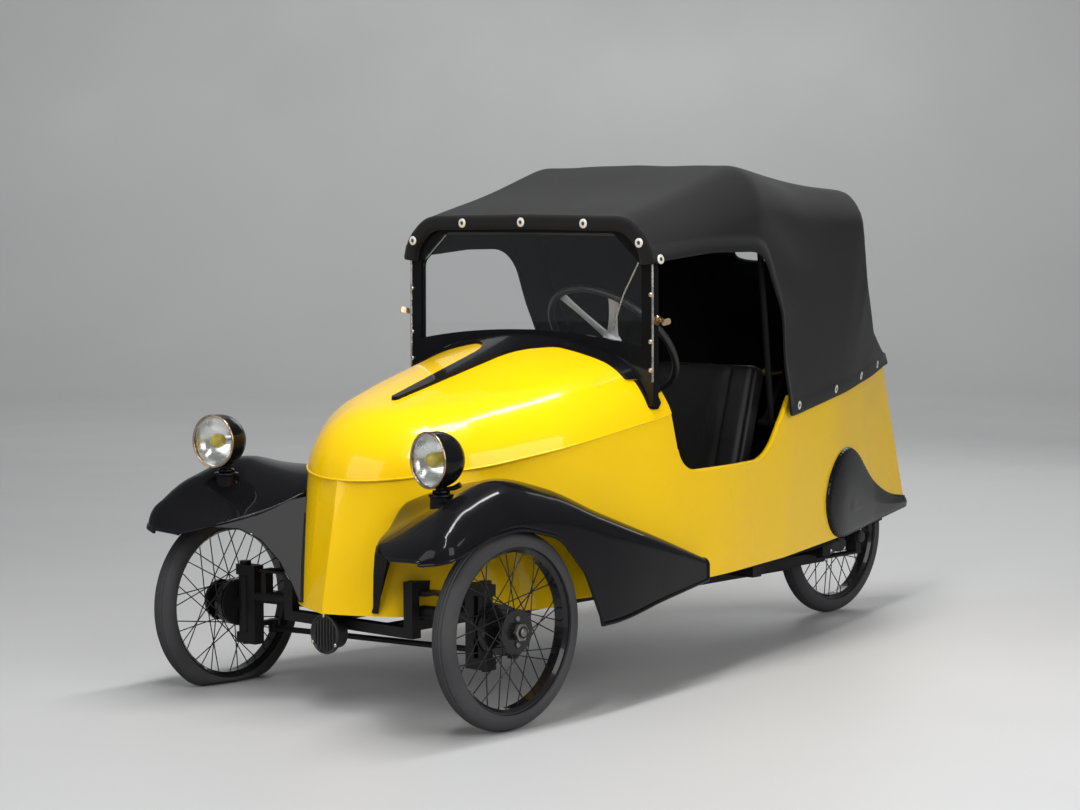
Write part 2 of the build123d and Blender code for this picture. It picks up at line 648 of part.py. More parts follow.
def yoke(side, hub_z):
    """C-shaped axle end that holds the kingpin."""
    points = [(352, 34), (352, 96), (418, 96), (418, 70), (378, 70), (378, -70), (418, -70), (418, -96), (352, -96)]
    outline = [(side * y, hub_z + z) for y, z in points]
    face = make_face(Polyline(*outline, close=True))
    plate = extrude(Plane(origin=(0, 0, 0), x_dir=(0, 1, 0), z_dir=(1, 0, 0)) * face, 15, both=True)
    return plate - rod((0, side * KINGPIN_Y, hub_z - 120), (0, side * KINGPIN_Y, hub_z + 120), KINGPIN_RADIUS)


def front_axle(hub_left, hub_right):
    """Tube with a yoke at each end, leaning down towards the soft tyre."""
    ends = [(1, hub_left), (-1, hub_right)]
    beam = rod((0, 360, hub_left + 20), (0, -360, hub_right + 20), 15)
    for side, hub in ends:
        beam = beam + yoke(side, hub)
    return beam


def kingpins(hub_left, hub_right):
    """Pins through the yokes, with a flat head on top."""
    pins = []
    for side, hub in [(1, hub_left), (-1, hub_right)]:
        pin = rod((0, side * KINGPIN_Y, hub - 100), (0, side * KINGPIN_Y, hub + 102), KINGPIN_RADIUS)
        head = rod((0, side * KINGPIN_Y, hub + 96), (0, side * KINGPIN_Y, hub + 104), 14)
        pins.append((pin + head).solid())
    return Compound(pins)


def knuckle(side, hub_z):
    """Barrel on the kingpin, wheel spindle, brake backplate and steering arm."""
    y = KINGPIN_Y
    barrel = rod((0, y, -69), (0, y, 69), 17)
    spindle = rod((0, y, 0), (0, FRONT_TRACK / 2 + 46, 0), SPINDLE_RADIUS)
    collar = rod((0, y + 10, 0), (0, FRONT_TRACK / 2 - 42, 0), 18)
    plate = rod((0, FRONT_TRACK / 2 - 46, 0), (0, FRONT_TRACK / 2 - 42, 0), 57)
    nut = rod((0, FRONT_TRACK / 2 + 41, 0), (0, FRONT_TRACK / 2 + 52, 0), 13)
    arm = block(-STEERING_ARM, -8, y - 8, y + 8, -62, -50)
    eye = rod((-STEERING_ARM, y, -62), (-STEERING_ARM, y, -50), 13)
    pin = rod((-STEERING_ARM, y, -82), (-STEERING_ARM, y, -50), 6)
    whole = barrel + spindle + collar + plate + nut + arm + eye + pin
    whole = whole - rod((0, y, -80), (0, y, 80), KINGPIN_RADIUS + BEARING_GAP)
    if side < 0:
        whole = mirrored(whole)
    return Pos(0, 0, hub_z) * whole


def tie_rod(hub_left, hub_right):
    """Rod that joins both steering arms, hung on a pin at each end."""
    drop = -72.0
    bar = rod((-STEERING_ARM, KINGPIN_Y - 10, hub_left + drop), (-STEERING_ARM, 10 - KINGPIN_Y, hub_right + drop), 7)
    for side, hub in [(1, hub_left), (-1, hub_right)]:
        y = side * KINGPIN_Y
        bar = bar + rod((-STEERING_ARM, y, hub + drop - 9), (-STEERING_ARM, y, hub + drop + 9), 13)
    for side, hub in [(1, hub_left), (-1, hub_right)]:
        y = side * KINGPIN_Y
        bar = bar - rod((-STEERING_ARM, y, hub - 120), (-STEERING_ARM, y, hub), 6 + BEARING_GAP)
    return bar


def chassis():
    """Two rails, cross members under the floor and the upright frame at the nose."""
    parts = []
    for side in (-1, 1):
        y = side * RAIL_Y
        parts.append(block(-1612, 44, y - RAIL_WIDTH / 2, y + RAIL_WIDTH / 2, RAIL_Z, RAIL_Z + RAIL_HEIGHT))
        parts.append(block(POST_X, 44, side * 200 - 14, side * 200 + 14, RAIL_Z, 311))
    parts.append(block(16, 44, -214, 214, RAIL_Z, RAIL_Z + RAIL_HEIGHT))
    parts.append(block(-22, POST_X + 1, -214, 214, 290, 311))
    for x in (-250, -700, -1130, -1580):
        reach = min(hull_half_width(x - 18, FLOOR_Z), hull_half_width(x + 18, FLOOR_Z), 356) - 26
        parts.append(block(x - 18, x + 18, -reach, reach, RAIL_Z + RAIL_HEIGHT, FLOOR_Z))
    return parts[0].fuse(*parts[1:])


def front_spring(hub_left, hub_right):
    """Leaves across the car under the nose frame, with blocks down to the axle."""
    leaves = block(-20, 20, -330, 330, 284, 290)
    leaves = leaves + block(-20, 20, -230, 230, 278, 284) + block(-20, 20, -130, 130, 272, 278)
    for side, hub in [(1, hub_left), (-1, hub_right)]:
        leaves = leaves + block(-12, 12, side * 322 - 8, side * 322 + 8, hub, 284)
    beam = rod((0, 360, hub_left + 20), (0, -360, hub_right + 20), 15)
    cut = leaves - beam
    return max(cut.solids(), key=lambda s: s.volume)


def floor_pan():
    """Floor of the cabin and of the engine bay, short of both wheels."""
    pan = extrude(hull_face(FLOOR_Z, -HULL_WALL - 0.4), FLOOR_THICKNESS)
    return pan & block(-1612, -185, -500, 500, 200, 300)


def toe_board():
    """Upright board between the axle and the footwell."""
    low = hull_half_width(-185, 260) - HULL_WALL - 12
    return block(-185, -175, -low, low, FLOOR_Z, 520)


def seat_cushion():
    """Bench cushion, narrower at the back."""
    plan = rounded_face([(-770, -330), (-770, 330), (-1150, 272), (-1150, -272)], [50, 50, 30, 30])
    pad = extrude(Pos(0, 0, FLOOR_Z + FLOOR_THICKNESS) * plan, 140)
    return fillet(pad.edges().group_by(Axis.Z)[-1], 22)


def seat_back():
    """Bench backrest, leaning back."""
    profile = [(-1082, 390.3), (-1148, 390.3), (-1238, 742), (-1186, 748)]
    pad = extrude(Plane.XZ * rounded_face(profile, [12, 12, 20, 20]), 250, both=True)
    return pad


def dash_panel(inner_bonnet):
    """Board across the car under the scuttle, with a hole for the steering column."""
    board = block(-604, -594, -420, 420, 668, 900) & inner_bonnet
    lower, upper = column_ends()
    return board - rod(lower, upper, 20)


# Steering column and wheel
WHEEL_HUB = (-750.0, 135.0, 827.0)
COLUMN_LEAN = radians(42)
COLUMN_LENGTH = 640.0
STEERING_WHEEL_RADIUS = 185.0


def column_ends():
    """Lower and upper end of the column."""
    x, y, z = WHEEL_HUB
    reach = COLUMN_LENGTH
    return (x + cos(COLUMN_LEAN) * reach, y, z - sin(COLUMN_LEAN) * reach), (x, y, z)


def steering_column():
    """Column tube, with the box at its foot on the floor."""
    lower, upper = column_ends()
    top = Vector(*upper) - Vector(-cos(COLUMN_LEAN), 0, sin(COLUMN_LEAN)) * 20.4
    tube = rod(lower, tuple(top), 14)
    box = block(-310, -186, 98, 172, FLOOR_Z + FLOOR_THICKNESS, 432)
    return tube + box


def steering_wheel():
    """Thin rim on three flat spokes."""
    rim = Torus(STEERING_WHEEL_RADIUS - 9, 9)
    hub = Pos(0, 0, -6) * Cylinder(24, 28)
    wheel = rim + hub
    for angle in (60, 120, 270):
        wheel = wheel + Rot(0, 0, angle) * Pos(95, 0, -1) * Box(158, 26, 4)
    x, y, z = WHEEL_HUB
    plane = Plane(origin=(x, y, z), x_dir=(0, -1, 0), z_dir=(-cos(COLUMN_LEAN), 0, sin(COLUMN_LEAN)))
    return plane * wheel


def pedals():
    """Two floor pedals."""
    out = []
    for y in (70, 205):
        lever = rod((-420, y, FLOOR_Z + FLOOR_THICKNESS), (-372, y, 390), 6)
        lever = lever - block(-600, 0, 0, 300, 100, FLOOR_Z + FLOOR_THICKNESS)
        pad = Pos(-374, y, 396) * Rot(0, -62, 0) * Box(64, 50, 8)
        out.append((lever + pad).solid())
    return Compound(out)


# Rear wheel, springs, engine and chain
CHAIN_Y = -50.0
REAR_SPROCKET_RADIUS = 58.0
ENGINE_SPROCKET = (-1556.0, 330.0)
ENGINE_SPROCKET_RADIUS = 24.0


def rear_hub_sprocket():
    """Sprocket disc on the rear hub."""
    disc = rod((0, CHAIN_Y - 3, 0), (0, CHAIN_Y + 3, 0), REAR_SPROCKET_RADIUS - 1)
    sleeve = rod((0, CHAIN_Y - 3, 0), (0, -36, 0), 26)
    disc = disc + sleeve - rod((0, -100, 0), (0, 100, 0), SPINDLE_RADIUS + BEARING_GAP)
    return Pos(-WHEELBASE, 0, TYRE_R) * disc


def chain_loop():
    """Chain as one loop round both sprockets."""
    xe, ze = ENGINE_SPROCKET
    rings = []
    for extra in (7.0, 0.0):
        a = Pos(-WHEELBASE, TYRE_R) * Circle(REAR_SPROCKET_RADIUS + extra)
        b = Pos(xe, ze) * Circle(ENGINE_SPROCKET_RADIUS + extra)
        rings.append(make_hull((a + b).edges()))
    face = rings[0] - rings[1]
    return extrude(Plane.XZ.offset(-CHAIN_Y) * face, 3, both=True)


def engine():
    """Plain engine block on the rails, with the drive sprocket on its right side."""
    xe, ze = ENGINE_SPROCKET
    body = block(-1604, -1390, -30, 122, FLOOR_Z + FLOOR_THICKNESS, 470)
    body = body + rod((xe, CHAIN_Y - 3, ze), (xe, 0, ze), 9)
    return body + rod((xe, CHAIN_Y - 3, ze), (xe, CHAIN_Y + 3, ze), ENGINE_SPROCKET_RADIUS - 1)


def rear_springs():
    """Quarter springs on both sides of the rear wheel, from the rails to the axle eyes."""
    out = []
    for side in (-1, 1):
        y = side * 82
        leaves = []
        for length, layer in [(-WHEELBASE, 0), (-1700, 1), (-1540, 2)]:
            z = RAIL_Z - 6 * layer
            leaves.append(block(length, -1090, y - 17, y + 17, z - 6, z))
        eye = rod((-WHEELBASE, y - 17, TYRE_R), (-WHEELBASE, y + 17, TYRE_R), 20)
        drop = block(-WHEELBASE - 12, -WHEELBASE + 12, y - 17, y + 17, RAIL_Z - 6, TYRE_R)
        spring = leaves[0].fuse(*leaves[1:], eye, drop)
        bore = rod((-WHEELBASE, -120, TYRE_R), (-WHEELBASE, 120, TYRE_R), SPINDLE_RADIUS)
        out.append((spring - bore).solid())
    return Compound(out)


def rear_axle():
    """Spindle of the rear wheel with a nut at each end."""
    spindle = rod((-WHEELBASE, -112, TYRE_R), (-WHEELBASE, 112, TYRE_R), SPINDLE_RADIUS)
    for side in (-1, 1):
        spindle = spindle + rod((-WHEELBASE, side * 99, TYRE_R), (-WHEELBASE, side * 110, TYRE_R), 16)
    return spindle


def horn():
    """Round horn in front of the lower cross bar."""
    y, z = -30.0, 173.0
    body = rod((44, y, z), (76, y, z), 36) + rod((76, y, z), (90, y, z), 47)
    return body


def build():
    """Makes and saves every sub-part."""
    hub_left = TYRE_R
    hub_right = TYRE_R - FLAT_TYRE_DROP
    skin = scuttle_skin()
    save("lower_body", lower_body())
    save("bonnet", bonnet())
    save("scuttle_spear", scuttle(skin))
    save("screen_brackets", screen_brackets(skin))
    save("windscreen_frame", windscreen_frame())
    save("windscreen_glass", windscreen_glass())
    save("wing_nuts", wing_nuts())
    save("soft_top", soft_top())
    save("rear_window", rear_window())
    save("hood_frame", hood_frame())
    fender = fender_left()
    fender = max(fender.solids(), key=lambda s: s.volume)
    save("fender_left", fender)
    save("fender_right", mirrored(fender))
    save("fender_valances", fender_valances(fender))
    save("lamp_shells", lamp_place(lamp_shell()))
    save("lamp_lenses", lamp_place(lamp_lens()))
    save("lamp_reflectors", lamp_place(lamp_reflector()))
    save("lamp_stands", lamp_stands(fender_block()))
    save("tail_spats", tail_spats())
    save("chassis_frame", chassis())
    save("front_axle", front_axle(hub_left, hub_right))
    save("kingpins", kingpins(hub_left, hub_right))
    save("front_spring", front_spring(hub_left, hub_right))
    save("floor_pan", floor_pan())
    save("toe_board", toe_board())
    save("seat_cushion", seat_cushion())
    save("seat_back", seat_back())
    save("dash_panel", dash_panel(bonnet_solid(-BONNET_WALL)))
    save("steering_column", steering_column())
    save("steering_wheel", steering_wheel())
    save("pedals", pedals())
    save("engine_block", engine())
    save("drive_chain", chain_loop())
    save("rear_springs", rear_springs())
    save("rear_axle", rear_axle())
    save("horn", horn())
    rim = wheel_rim()
    round_tyre = tyre()
    half_track = FRONT_TRACK / 2
    save("wheel_left", Pos(0, half_track, hub_left) * rim)
    save("tyre_left", Pos(0, half_track, hub_left) * round_tyre)
    save("wheel_right", mirrored(Pos(0, half_track, hub_right) * rim))
    save("tyre_right", mirrored(Pos(0, half_track, hub_right) * flat_tyre()))
    save("wheel_rear", Pos(-WHEELBASE, 0, TYRE_R) * rim)
    save("tyre_rear", Pos(-WHEELBASE, 0, TYRE_R) * round_tyre)
    save("rear_sprocket", rear_hub_sprocket())
    save("knuckle_left", knuckle(1, hub_left))
    save("knuckle_right", knuckle(-1, hub_right))
    save("tie_rod", tie_rod(hub_left, hub_right))


build()
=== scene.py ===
# %% [markdown]
# A three-wheeled microcar of the cycle-car age: yellow sheet-metal body, black fenders, black canvas top.
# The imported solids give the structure. This lesson dresses them: it gives each solid a finish and lays new
# surfaces over the soft and fine pieces. Lengths in the tables are millimetres measured from the front axle,
# as a body drawing has them, and `place` turns them into metres in the frame.

# %% Load the frame
import json
import math

import bmesh
import bpy
import numpy as np
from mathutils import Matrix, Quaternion, Vector


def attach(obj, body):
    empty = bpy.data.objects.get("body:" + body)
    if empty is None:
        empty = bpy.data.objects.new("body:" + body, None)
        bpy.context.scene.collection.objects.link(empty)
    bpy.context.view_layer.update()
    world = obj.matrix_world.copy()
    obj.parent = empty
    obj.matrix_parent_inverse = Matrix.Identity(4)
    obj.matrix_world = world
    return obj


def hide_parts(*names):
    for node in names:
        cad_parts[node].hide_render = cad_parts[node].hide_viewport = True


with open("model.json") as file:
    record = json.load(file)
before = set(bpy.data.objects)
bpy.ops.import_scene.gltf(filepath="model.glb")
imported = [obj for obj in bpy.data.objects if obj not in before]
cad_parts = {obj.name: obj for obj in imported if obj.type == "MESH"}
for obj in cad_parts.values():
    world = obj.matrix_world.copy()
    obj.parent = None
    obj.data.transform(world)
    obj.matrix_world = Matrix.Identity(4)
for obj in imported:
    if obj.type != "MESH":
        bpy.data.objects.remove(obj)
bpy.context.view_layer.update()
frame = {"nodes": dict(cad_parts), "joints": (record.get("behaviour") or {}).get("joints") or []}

nodes = frame["nodes"]
joint_at = {joint["name"]: joint for joint in frame["joints"]}
AXLE_X = joint_at["front_left_spin"]["pos_m"][0]
print("frame:", len(nodes), "nodes, front axle at x =", AXLE_X)


# %% [markdown]
# Every new piece is a grid of points worked out with numpy. These helpers turn grids, tubes and turned
# profiles into meshes. Faces of closed pieces are turned outwards once, when the mesh is made.

# %% Mesh helpers
def place(points):
    """Millimetres from the front axle to metres in the frame: divide by 1000 and add the axle's x."""
    return np.asarray(points, float) / 1000.0 + np.array([AXLE_X, 0.0, 0.0])


def grid_faces(rows, columns, close_rows=False, close_columns=False):
    """Quads of a grid of points stored row by row; a closed direction joins its last line to its first."""
    i = np.arange(rows if close_rows else rows - 1)[:, None]
    j = np.arange(columns if close_columns else columns - 1)[None, :]
    i1, j1 = (i + 1) % rows, (j + 1) % columns
    quads = np.stack([i * columns + j, i1 * columns + j, i1 * columns + j1, i * columns + j1], -1)
    return quads.reshape(-1, 4).tolist()


def capped_faces(rows, columns):
    """Quads of a grid rolled up across its columns, with one face over each end."""
    last = (rows - 1) * columns
    ends = [list(range(columns))[::-1], [last + k for k in range(columns)]]
    return grid_faces(rows, columns, close_columns=True) + ends


def joined(parts):
    """Several (points, faces) pairs as one pair."""
    points, faces, start = [], [], 0
    for part_points, part_faces in parts:
        points.append(np.asarray(part_points, float).reshape(-1, 3))
        faces += [[start + k for k in face] for face in part_faces]
        start += len(points[-1])
    return np.concatenate(points), faces


def mirrored(part):
    """The same points and faces on the other side of the car."""
    points, faces = part
    return np.asarray(points, float).reshape(-1, 3) * [1, -1, 1], [face[::-1] for face in faces]


def both_sides(part):
    """A left-hand shape together with its mirror image."""
    return joined([part, mirrored(part)])


def piece(name, part, material, body, stands_for=(), closed=True, uv=None, angle=40.0):
    """Makes one mesh object that rides on a body; closed shapes get their normals turned outwards."""
    points, faces = part
    mesh = bpy.data.meshes.new(name)
    mesh.from_pydata(np.asarray(points, float).reshape(-1, 3).tolist(), [], faces)
    if closed:
        work = bmesh.new()
        work.from_mesh(mesh)
        bmesh.ops.recalc_face_normals(work, faces=work.faces)
        work.to_mesh(mesh)
        work.free()
    if uv is not None:
        layer = mesh.uv_layers.new(name="surface")
        corner = np.zeros(len(mesh.loops), int)
        mesh.loops.foreach_get("vertex_index", corner)
        layer.data.foreach_set("uv", np.asarray(uv, np.float32).reshape(-1, 2)[corner].ravel())
    mesh.shade_smooth()
    mesh.set_sharp_from_angle(angle=math.radians(angle))
    mesh.materials.append(material)
    made = bpy.data.objects.new(name, mesh)
    bpy.context.scene.collection.objects.link(made)
    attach(made, body)
    if stands_for:
        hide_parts(*stands_for)
    return made


def thicken(made, thickness, offset):
    """Gives a sheet its thickness in metres; offset -1 keeps the outer face where it is."""
    solid = made.modifiers.new("thickness", "SOLIDIFY")
    solid.thickness = thickness
    solid.offset = offset


def node_points(name):
    """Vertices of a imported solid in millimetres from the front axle."""
    mesh = nodes[name].data
    at = np.zeros(len(mesh.vertices) * 3)
    mesh.vertices.foreach_get("co", at)
    return at.reshape(-1, 3) * 1000 - np.array([AXLE_X * 1000, 0, 0])


def bell(reach, width):
    """Weights of a bell curve over whole steps from -reach to reach, adding up to one."""
    weight = np.exp(-0.5 * (np.arange(-reach, reach + 1) / width) ** 2)
    return weight / weight.sum()


def unit(vectors):
    """Vectors scaled to length one."""
    return vectors / np.maximum(np.linalg.norm(vectors, axis=-1, keepdims=True), 1e-12)


def tube(path, radius, sides=10, closed=False):
    """A round bar along a path in metres: circles square to it, each turned as little as it can be."""
    path = np.asarray(path, float)
    if closed:
        along = unit(np.roll(path, -1, 0) - np.roll(path, 1, 0))
    else:
        along = unit(np.gradient(path, axis=0))
    first = np.cross(along[0], [0, 0, 1.0])
    if np.linalg.norm(first) < 0.2:
        first = np.cross(along[0], [0, 1.0, 0])
    side = [first / np.linalg.norm(first)]
    for step in along[1:]:
        carried = side[-1] - step * (side[-1] @ step)
        side.append(carried / np.linalg.norm(carried))
    side = np.array(side)
    other = np.cross(along, side)
    turn = np.linspace(0, 2 * np.pi, sides, endpoint=False)
    width = np.broadcast_to(np.asarray(radius, float), (len(path),))[:, None, None]
    ring = side[:, None] * np.cos(turn)[None, :, None] + other[:, None] * np.sin(turn)[None, :, None]
    points = path[:, None] + width * ring
    if closed:
        return points.reshape(-1, 3), grid_faces(len(path), sides, close_rows=True, close_columns=True)
    return points.reshape(-1, 3), capped_faces(len(path), sides)


def turned(profile, centre, axis, segments):
    """A profile of (distance along the axis, radius) in millimetres, turned about it, with closed ends."""
    axis = np.asarray(axis, float) / np.linalg.norm(axis)
    helper = np.array([0, 0, 1.0]) if abs(axis[2]) < 0.9 else np.array([1.0, 0, 0])
    e1 = np.cross(axis, helper)
    e1 /= np.linalg.norm(e1)
    e2 = np.cross(axis, e1)
    profile = np.asarray(profile, float) / 1000
    angle = np.linspace(0, 2 * np.pi, segments, endpoint=False)
    ring = np.cos(angle)[:, None] * e1 + np.sin(angle)[:, None] * e2
    points = place(centre) + profile[:, None, :1] * axis + profile[:, None, 1:] * ring[None]
    return points.reshape(-1, 3), capped_faces(len(profile), segments)


def ring_band(profile, centre, axis, segments):
    """A closed profile of (along, radius) turned about an axis: a ring such as a lamp rim."""
    points, _ = turned(profile, centre, axis, segments)
    return points, grid_faces(len(profile), segments, close_rows=True, close_columns=True)


def rounded_line(points, radii, steps=10, closed=False):
    """A polyline whose corners are arcs: each corner is cut back by radius / tan(half angle) and bridged."""
    points = np.asarray(points, float)
    out = []
    count = len(points)
    for k in range(count):
        if not closed and k in (0, count - 1) or radii[k] <= 0:
            out.append(points[k][None])
            continue
        corner = points[k]
        a = unit(points[k - 1] - corner)
        b = unit(points[(k + 1) % count] - corner)
        half = math.acos(np.clip(a @ b, -1, 1)) / 2
        centre = corner + unit(a + b) * radii[k] / math.sin(half)
        start = corner + a * radii[k] / math.tan(half) - centre
        end = corner + b * radii[k] / math.tan(half) - centre
        sweep = math.pi - 2 * half
        t = np.linspace(0, 1, steps)[:, None]
        out.append(centre + (np.sin((1 - t) * sweep) * start + np.sin(t * sweep) * end) / math.sin(sweep))
    return np.concatenate(out)


def resampled(line, count):
    """The same line with points at equal distances."""
    line = np.asarray(line, float)
    run = np.concatenate([[0], np.cumsum(np.linalg.norm(np.diff(line, axis=0), axis=1))])
    at = np.linspace(0, run[-1], count)
    return np.stack([np.interp(at, run, line[:, k]) for k in range(line.shape[1])], 1)


print("helpers ready")


# %% [markdown]
# Shared effects are node groups. `surface_mottle` gives slow cloudy variation for colour and roughness, with
# fine grain for bump. `canvas_weave` makes the crossing threads of a duck canvas from the cloth's own UV map,
# whose unit is the metre.

# %% Shader node groups
def new_group(name, inputs, outputs):
    """An empty shader node group with its named number or colour sockets."""
    group = bpy.data.node_groups.new(name, "ShaderNodeTree")
    kinds = {"value": "NodeSocketFloat", "colour": "NodeSocketColor", "vector": "NodeSocketVector"}
    for label, kind, default in inputs:
        socket = group.interface.new_socket(label, in_out="INPUT", socket_type=kinds[kind])
        if default is not None:
            socket.default_value = default
    for label, kind in outputs:
        group.interface.new_socket(label, in_out="OUTPUT", socket_type=kinds[kind])
    start = group.nodes.new("NodeGroupInput")
    end = group.nodes.new("NodeGroupOutput")
    return group, start, end


def node(tree, kind, links=(), **values):
    """Adds a node, sets its properties and sockets, and links (output socket, input name or number) pairs."""
    made = tree.nodes.new(kind)
    for key, value in values.items():
        if hasattr(made, key):
            setattr(made, key, value)
        else:
            made.inputs[key].default_value = value
    for source, target in links:
        tree.links.new(source, made.inputs[target])
    return made


def maths(tree, operation, first, second=None):
    """One Math node; numbers and sockets both work as inputs."""
    made = tree.nodes.new("ShaderNodeMath")
    made.operation = operation
    for k, value in enumerate(v for v in (first, second) if v is not None):
        if isinstance(value, (int, float)):
            made.inputs[k].default_value = value
        else:
            tree.links.new(value, made.inputs[k])
    return made.outputs[0]


def colour_mix(tree, factor, first, second):
    """A Mix node for colours; the factor is a socket, and both colours may be sockets or values."""
    made = tree.nodes.new("ShaderNodeMix")
    made.data_type = "RGBA"
    tree.links.new(factor, made.inputs["Factor"])
    for label, value in (("A", first), ("B", second)):
        socket = [s for s in made.inputs if s.name == label and s.type == "RGBA"][0]
        if isinstance(value, tuple):
            socket.default_value = value
        else:
            tree.links.new(value, socket)
    return [s for s in made.outputs if s.type == "RGBA"][0]


def build_mottle():
    """Cloud = low noise; Grain = high noise; Colour = mix of the two colours by the cloud."""
    group, start, end = new_group(
        "surface_mottle",
        [("Vector", "vector", None), ("Scale", "value", 3.0), ("Grain scale", "value", 400.0),
         ("Colour A", "colour", (0.5, 0.5, 0.5, 1)), ("Colour B", "colour", (0.4, 0.4, 0.4, 1)),
         ("Rough low", "value", 0.2), ("Rough high", "value", 0.35)],
        [("Colour", "colour"), ("Rough", "value"), ("Grain", "value")])
    cloud = node(group, "ShaderNodeTexNoise",
                 [(start.outputs["Vector"], "Vector"), (start.outputs["Scale"], "Scale")], Detail=5.0)
    grain = node(group, "ShaderNodeTexNoise",
                 [(start.outputs["Vector"], "Vector"), (start.outputs["Grain scale"], "Scale")], Detail=2.0)
    spread = node(group, "ShaderNodeMapRange", [(cloud.outputs["Fac"], "Value")])
    spread.inputs["From Min"].default_value = 0.32
    spread.inputs["From Max"].default_value = 0.68
    mixed = colour_mix(group, spread.outputs["Result"], start.outputs["Colour A"], start.outputs["Colour B"])
    rough = node(group, "ShaderNodeMapRange", [(spread.outputs["Result"], "Value"),
                                               (start.outputs["Rough low"], "To Min"),
                                               (start.outputs["Rough high"], "To Max")])
    group.links.new(mixed, end.inputs["Colour"])
    group.links.new(rough.outputs["Result"], end.inputs["Rough"])
    group.links.new(grain.outputs["Fac"], end.inputs["Grain"])
    return group


def build_weave():
    """Height = the larger of two sines, one across the cloth and one along it."""
    group, start, end = new_group(
        "canvas_weave", [("Vector", "vector", None), ("Threads", "value", 900.0)], [("Height", "value")])
    split = node(group, "ShaderNodeSeparateXYZ", [(start.outputs["Vector"], "Vector")])
    across = maths(group, "MULTIPLY", split.outputs["X"], start.outputs["Threads"])
    along = maths(group, "MULTIPLY", split.outputs["Y"], start.outputs["Threads"])
    warp = maths(group, "SINE", maths(group, "MULTIPLY", across, 2 * math.pi))
    weft = maths(group, "SINE", maths(group, "MULTIPLY", along, 2 * math.pi))
    group.links.new(maths(group, "MAXIMUM", warp, weft), end.inputs["Height"])
    return group


MOTTLE = build_mottle()
WEAVE = build_weave()
print("node groups:", MOTTLE.name, WEAVE.name)


# %% [markdown]
# Finishes. Each is a Principled shader whose colour, roughness and bump come from the groups: sprayed gloss
# paint under clear varnish, canvas, rubber, turned nickel, cast alloy. Glass is a plain clear shader.

# %% Materials
def finish(name, colour, second, rough, scale, bump, grain=400.0, **sockets):
    """A Principled material with mottled colour and roughness and a fine bump; sockets set plain values."""
    material = bpy.data.materials.new(name)
    material.use_nodes = True
    tree = material.node_tree
    shader = tree.nodes["Principled BSDF"]
    where = tree.nodes.new("ShaderNodeTexCoord")
    mottle = tree.nodes.new("ShaderNodeGroup")
    mottle.node_tree = MOTTLE
    tree.links.new(where.outputs["Object"], mottle.inputs["Vector"])
    mottle.inputs["Scale"].default_value = scale
    mottle.inputs["Grain scale"].default_value = grain
    mottle.inputs["Colour A"].default_value = (*colour, 1)
    mottle.inputs["Colour B"].default_value = (*second, 1)
    mottle.inputs["Rough low"].default_value = rough[0]
    mottle.inputs["Rough high"].default_value = rough[1]
    tree.links.new(mottle.outputs["Colour"], shader.inputs["Base Color"])
    tree.links.new(mottle.outputs["Rough"], shader.inputs["Roughness"])
    relief = node(tree, "ShaderNodeBump", [(mottle.outputs["Grain"], "Height")], Strength=bump,
                  Distance=0.001)
    tree.links.new(relief.outputs["Normal"], shader.inputs["Normal"])
    for label, value in sockets.items():
        shader.inputs[label.replace("_", " ")].default_value = value
    return material


def canvas(name, colour, second, threads):
    """Duck canvas: mottled black, woven bump from the UV map in metres, and a dusty sheen."""
    material = finish(name, colour, second, rough=(0.82, 0.95), scale=5.0, grain=900.0, bump=0.1,
                      Sheen_Weight=0.08, Sheen_Roughness=0.5, Specular_IOR_Level=0.12)
    tree = material.node_tree
    where = tree.nodes["Texture Coordinate"]
    weave = tree.nodes.new("ShaderNodeGroup")
    weave.node_tree = WEAVE
    tree.links.new(where.outputs["UV"], weave.inputs["Vector"])
    weave.inputs["Threads"].default_value = threads
    relief = node(tree, "ShaderNodeBump", [(weave.outputs["Height"], "Height")], Strength=0.35,
                  Distance=0.0006)
    tree.links.new(tree.nodes["Bump"].outputs["Normal"], relief.inputs["Normal"])
    tree.links.new(relief.outputs["Normal"], tree.nodes["Principled BSDF"].inputs["Normal"])
    return material


def clear(name, tint, rough):
    """Clear glass or sheet, with a plain Principled transmission."""
    material = bpy.data.materials.new(name)
    material.use_nodes = True
    shader = material.node_tree.nodes["Principled BSDF"]
    shader.inputs["Base Color"].default_value = (*tint, 1)
    shader.inputs["Transmission Weight"].default_value = 1.0
    shader.inputs["Roughness"].default_value = rough
    shader.inputs["IOR"].default_value = 1.45
    return material


yellow = finish("yellow_gloss", (0.87, 0.55, 0.002), (0.84, 0.52, 0.002),
                rough=(0.22, 0.3), scale=1.6, grain=260.0, bump=0.012, Coat_Weight=0.55,
                Coat_Roughness=0.03, Coat_IOR=1.36, Specular_IOR_Level=0.08)
black = finish("black_gloss", (0.004, 0.004, 0.005), (0.007, 0.007, 0.008),
               rough=(0.2, 0.3), scale=2.5, grain=260.0, bump=0.012, Coat_Weight=0.42, Coat_Roughness=0.02,
               Coat_IOR=1.38, Specular_IOR_Level=0.03)
black_satin = finish("black_satin", (0.010, 0.010, 0.011), (0.017, 0.017, 0.018),
                     rough=(0.35, 0.55), scale=9.0, bump=0.06)
lining = finish("lining_black", (0.005, 0.005, 0.006), (0.008, 0.008, 0.009),
                rough=(0.6, 0.8), scale=6.0, grain=700.0, bump=0.2, Specular_IOR_Level=0.08)
chassis_black = finish("chassis_black", (0.008, 0.008, 0.009), (0.015, 0.014, 0.014),
                       rough=(0.35, 0.6), scale=14.0, bump=0.12, Specular_IOR_Level=0.15)
rubber = finish("tyre_rubber", (0.030, 0.030, 0.033), (0.048, 0.047, 0.048),
                rough=(0.62, 0.8), scale=7.0, grain=600.0, bump=0.15, Specular_IOR_Level=0.35)
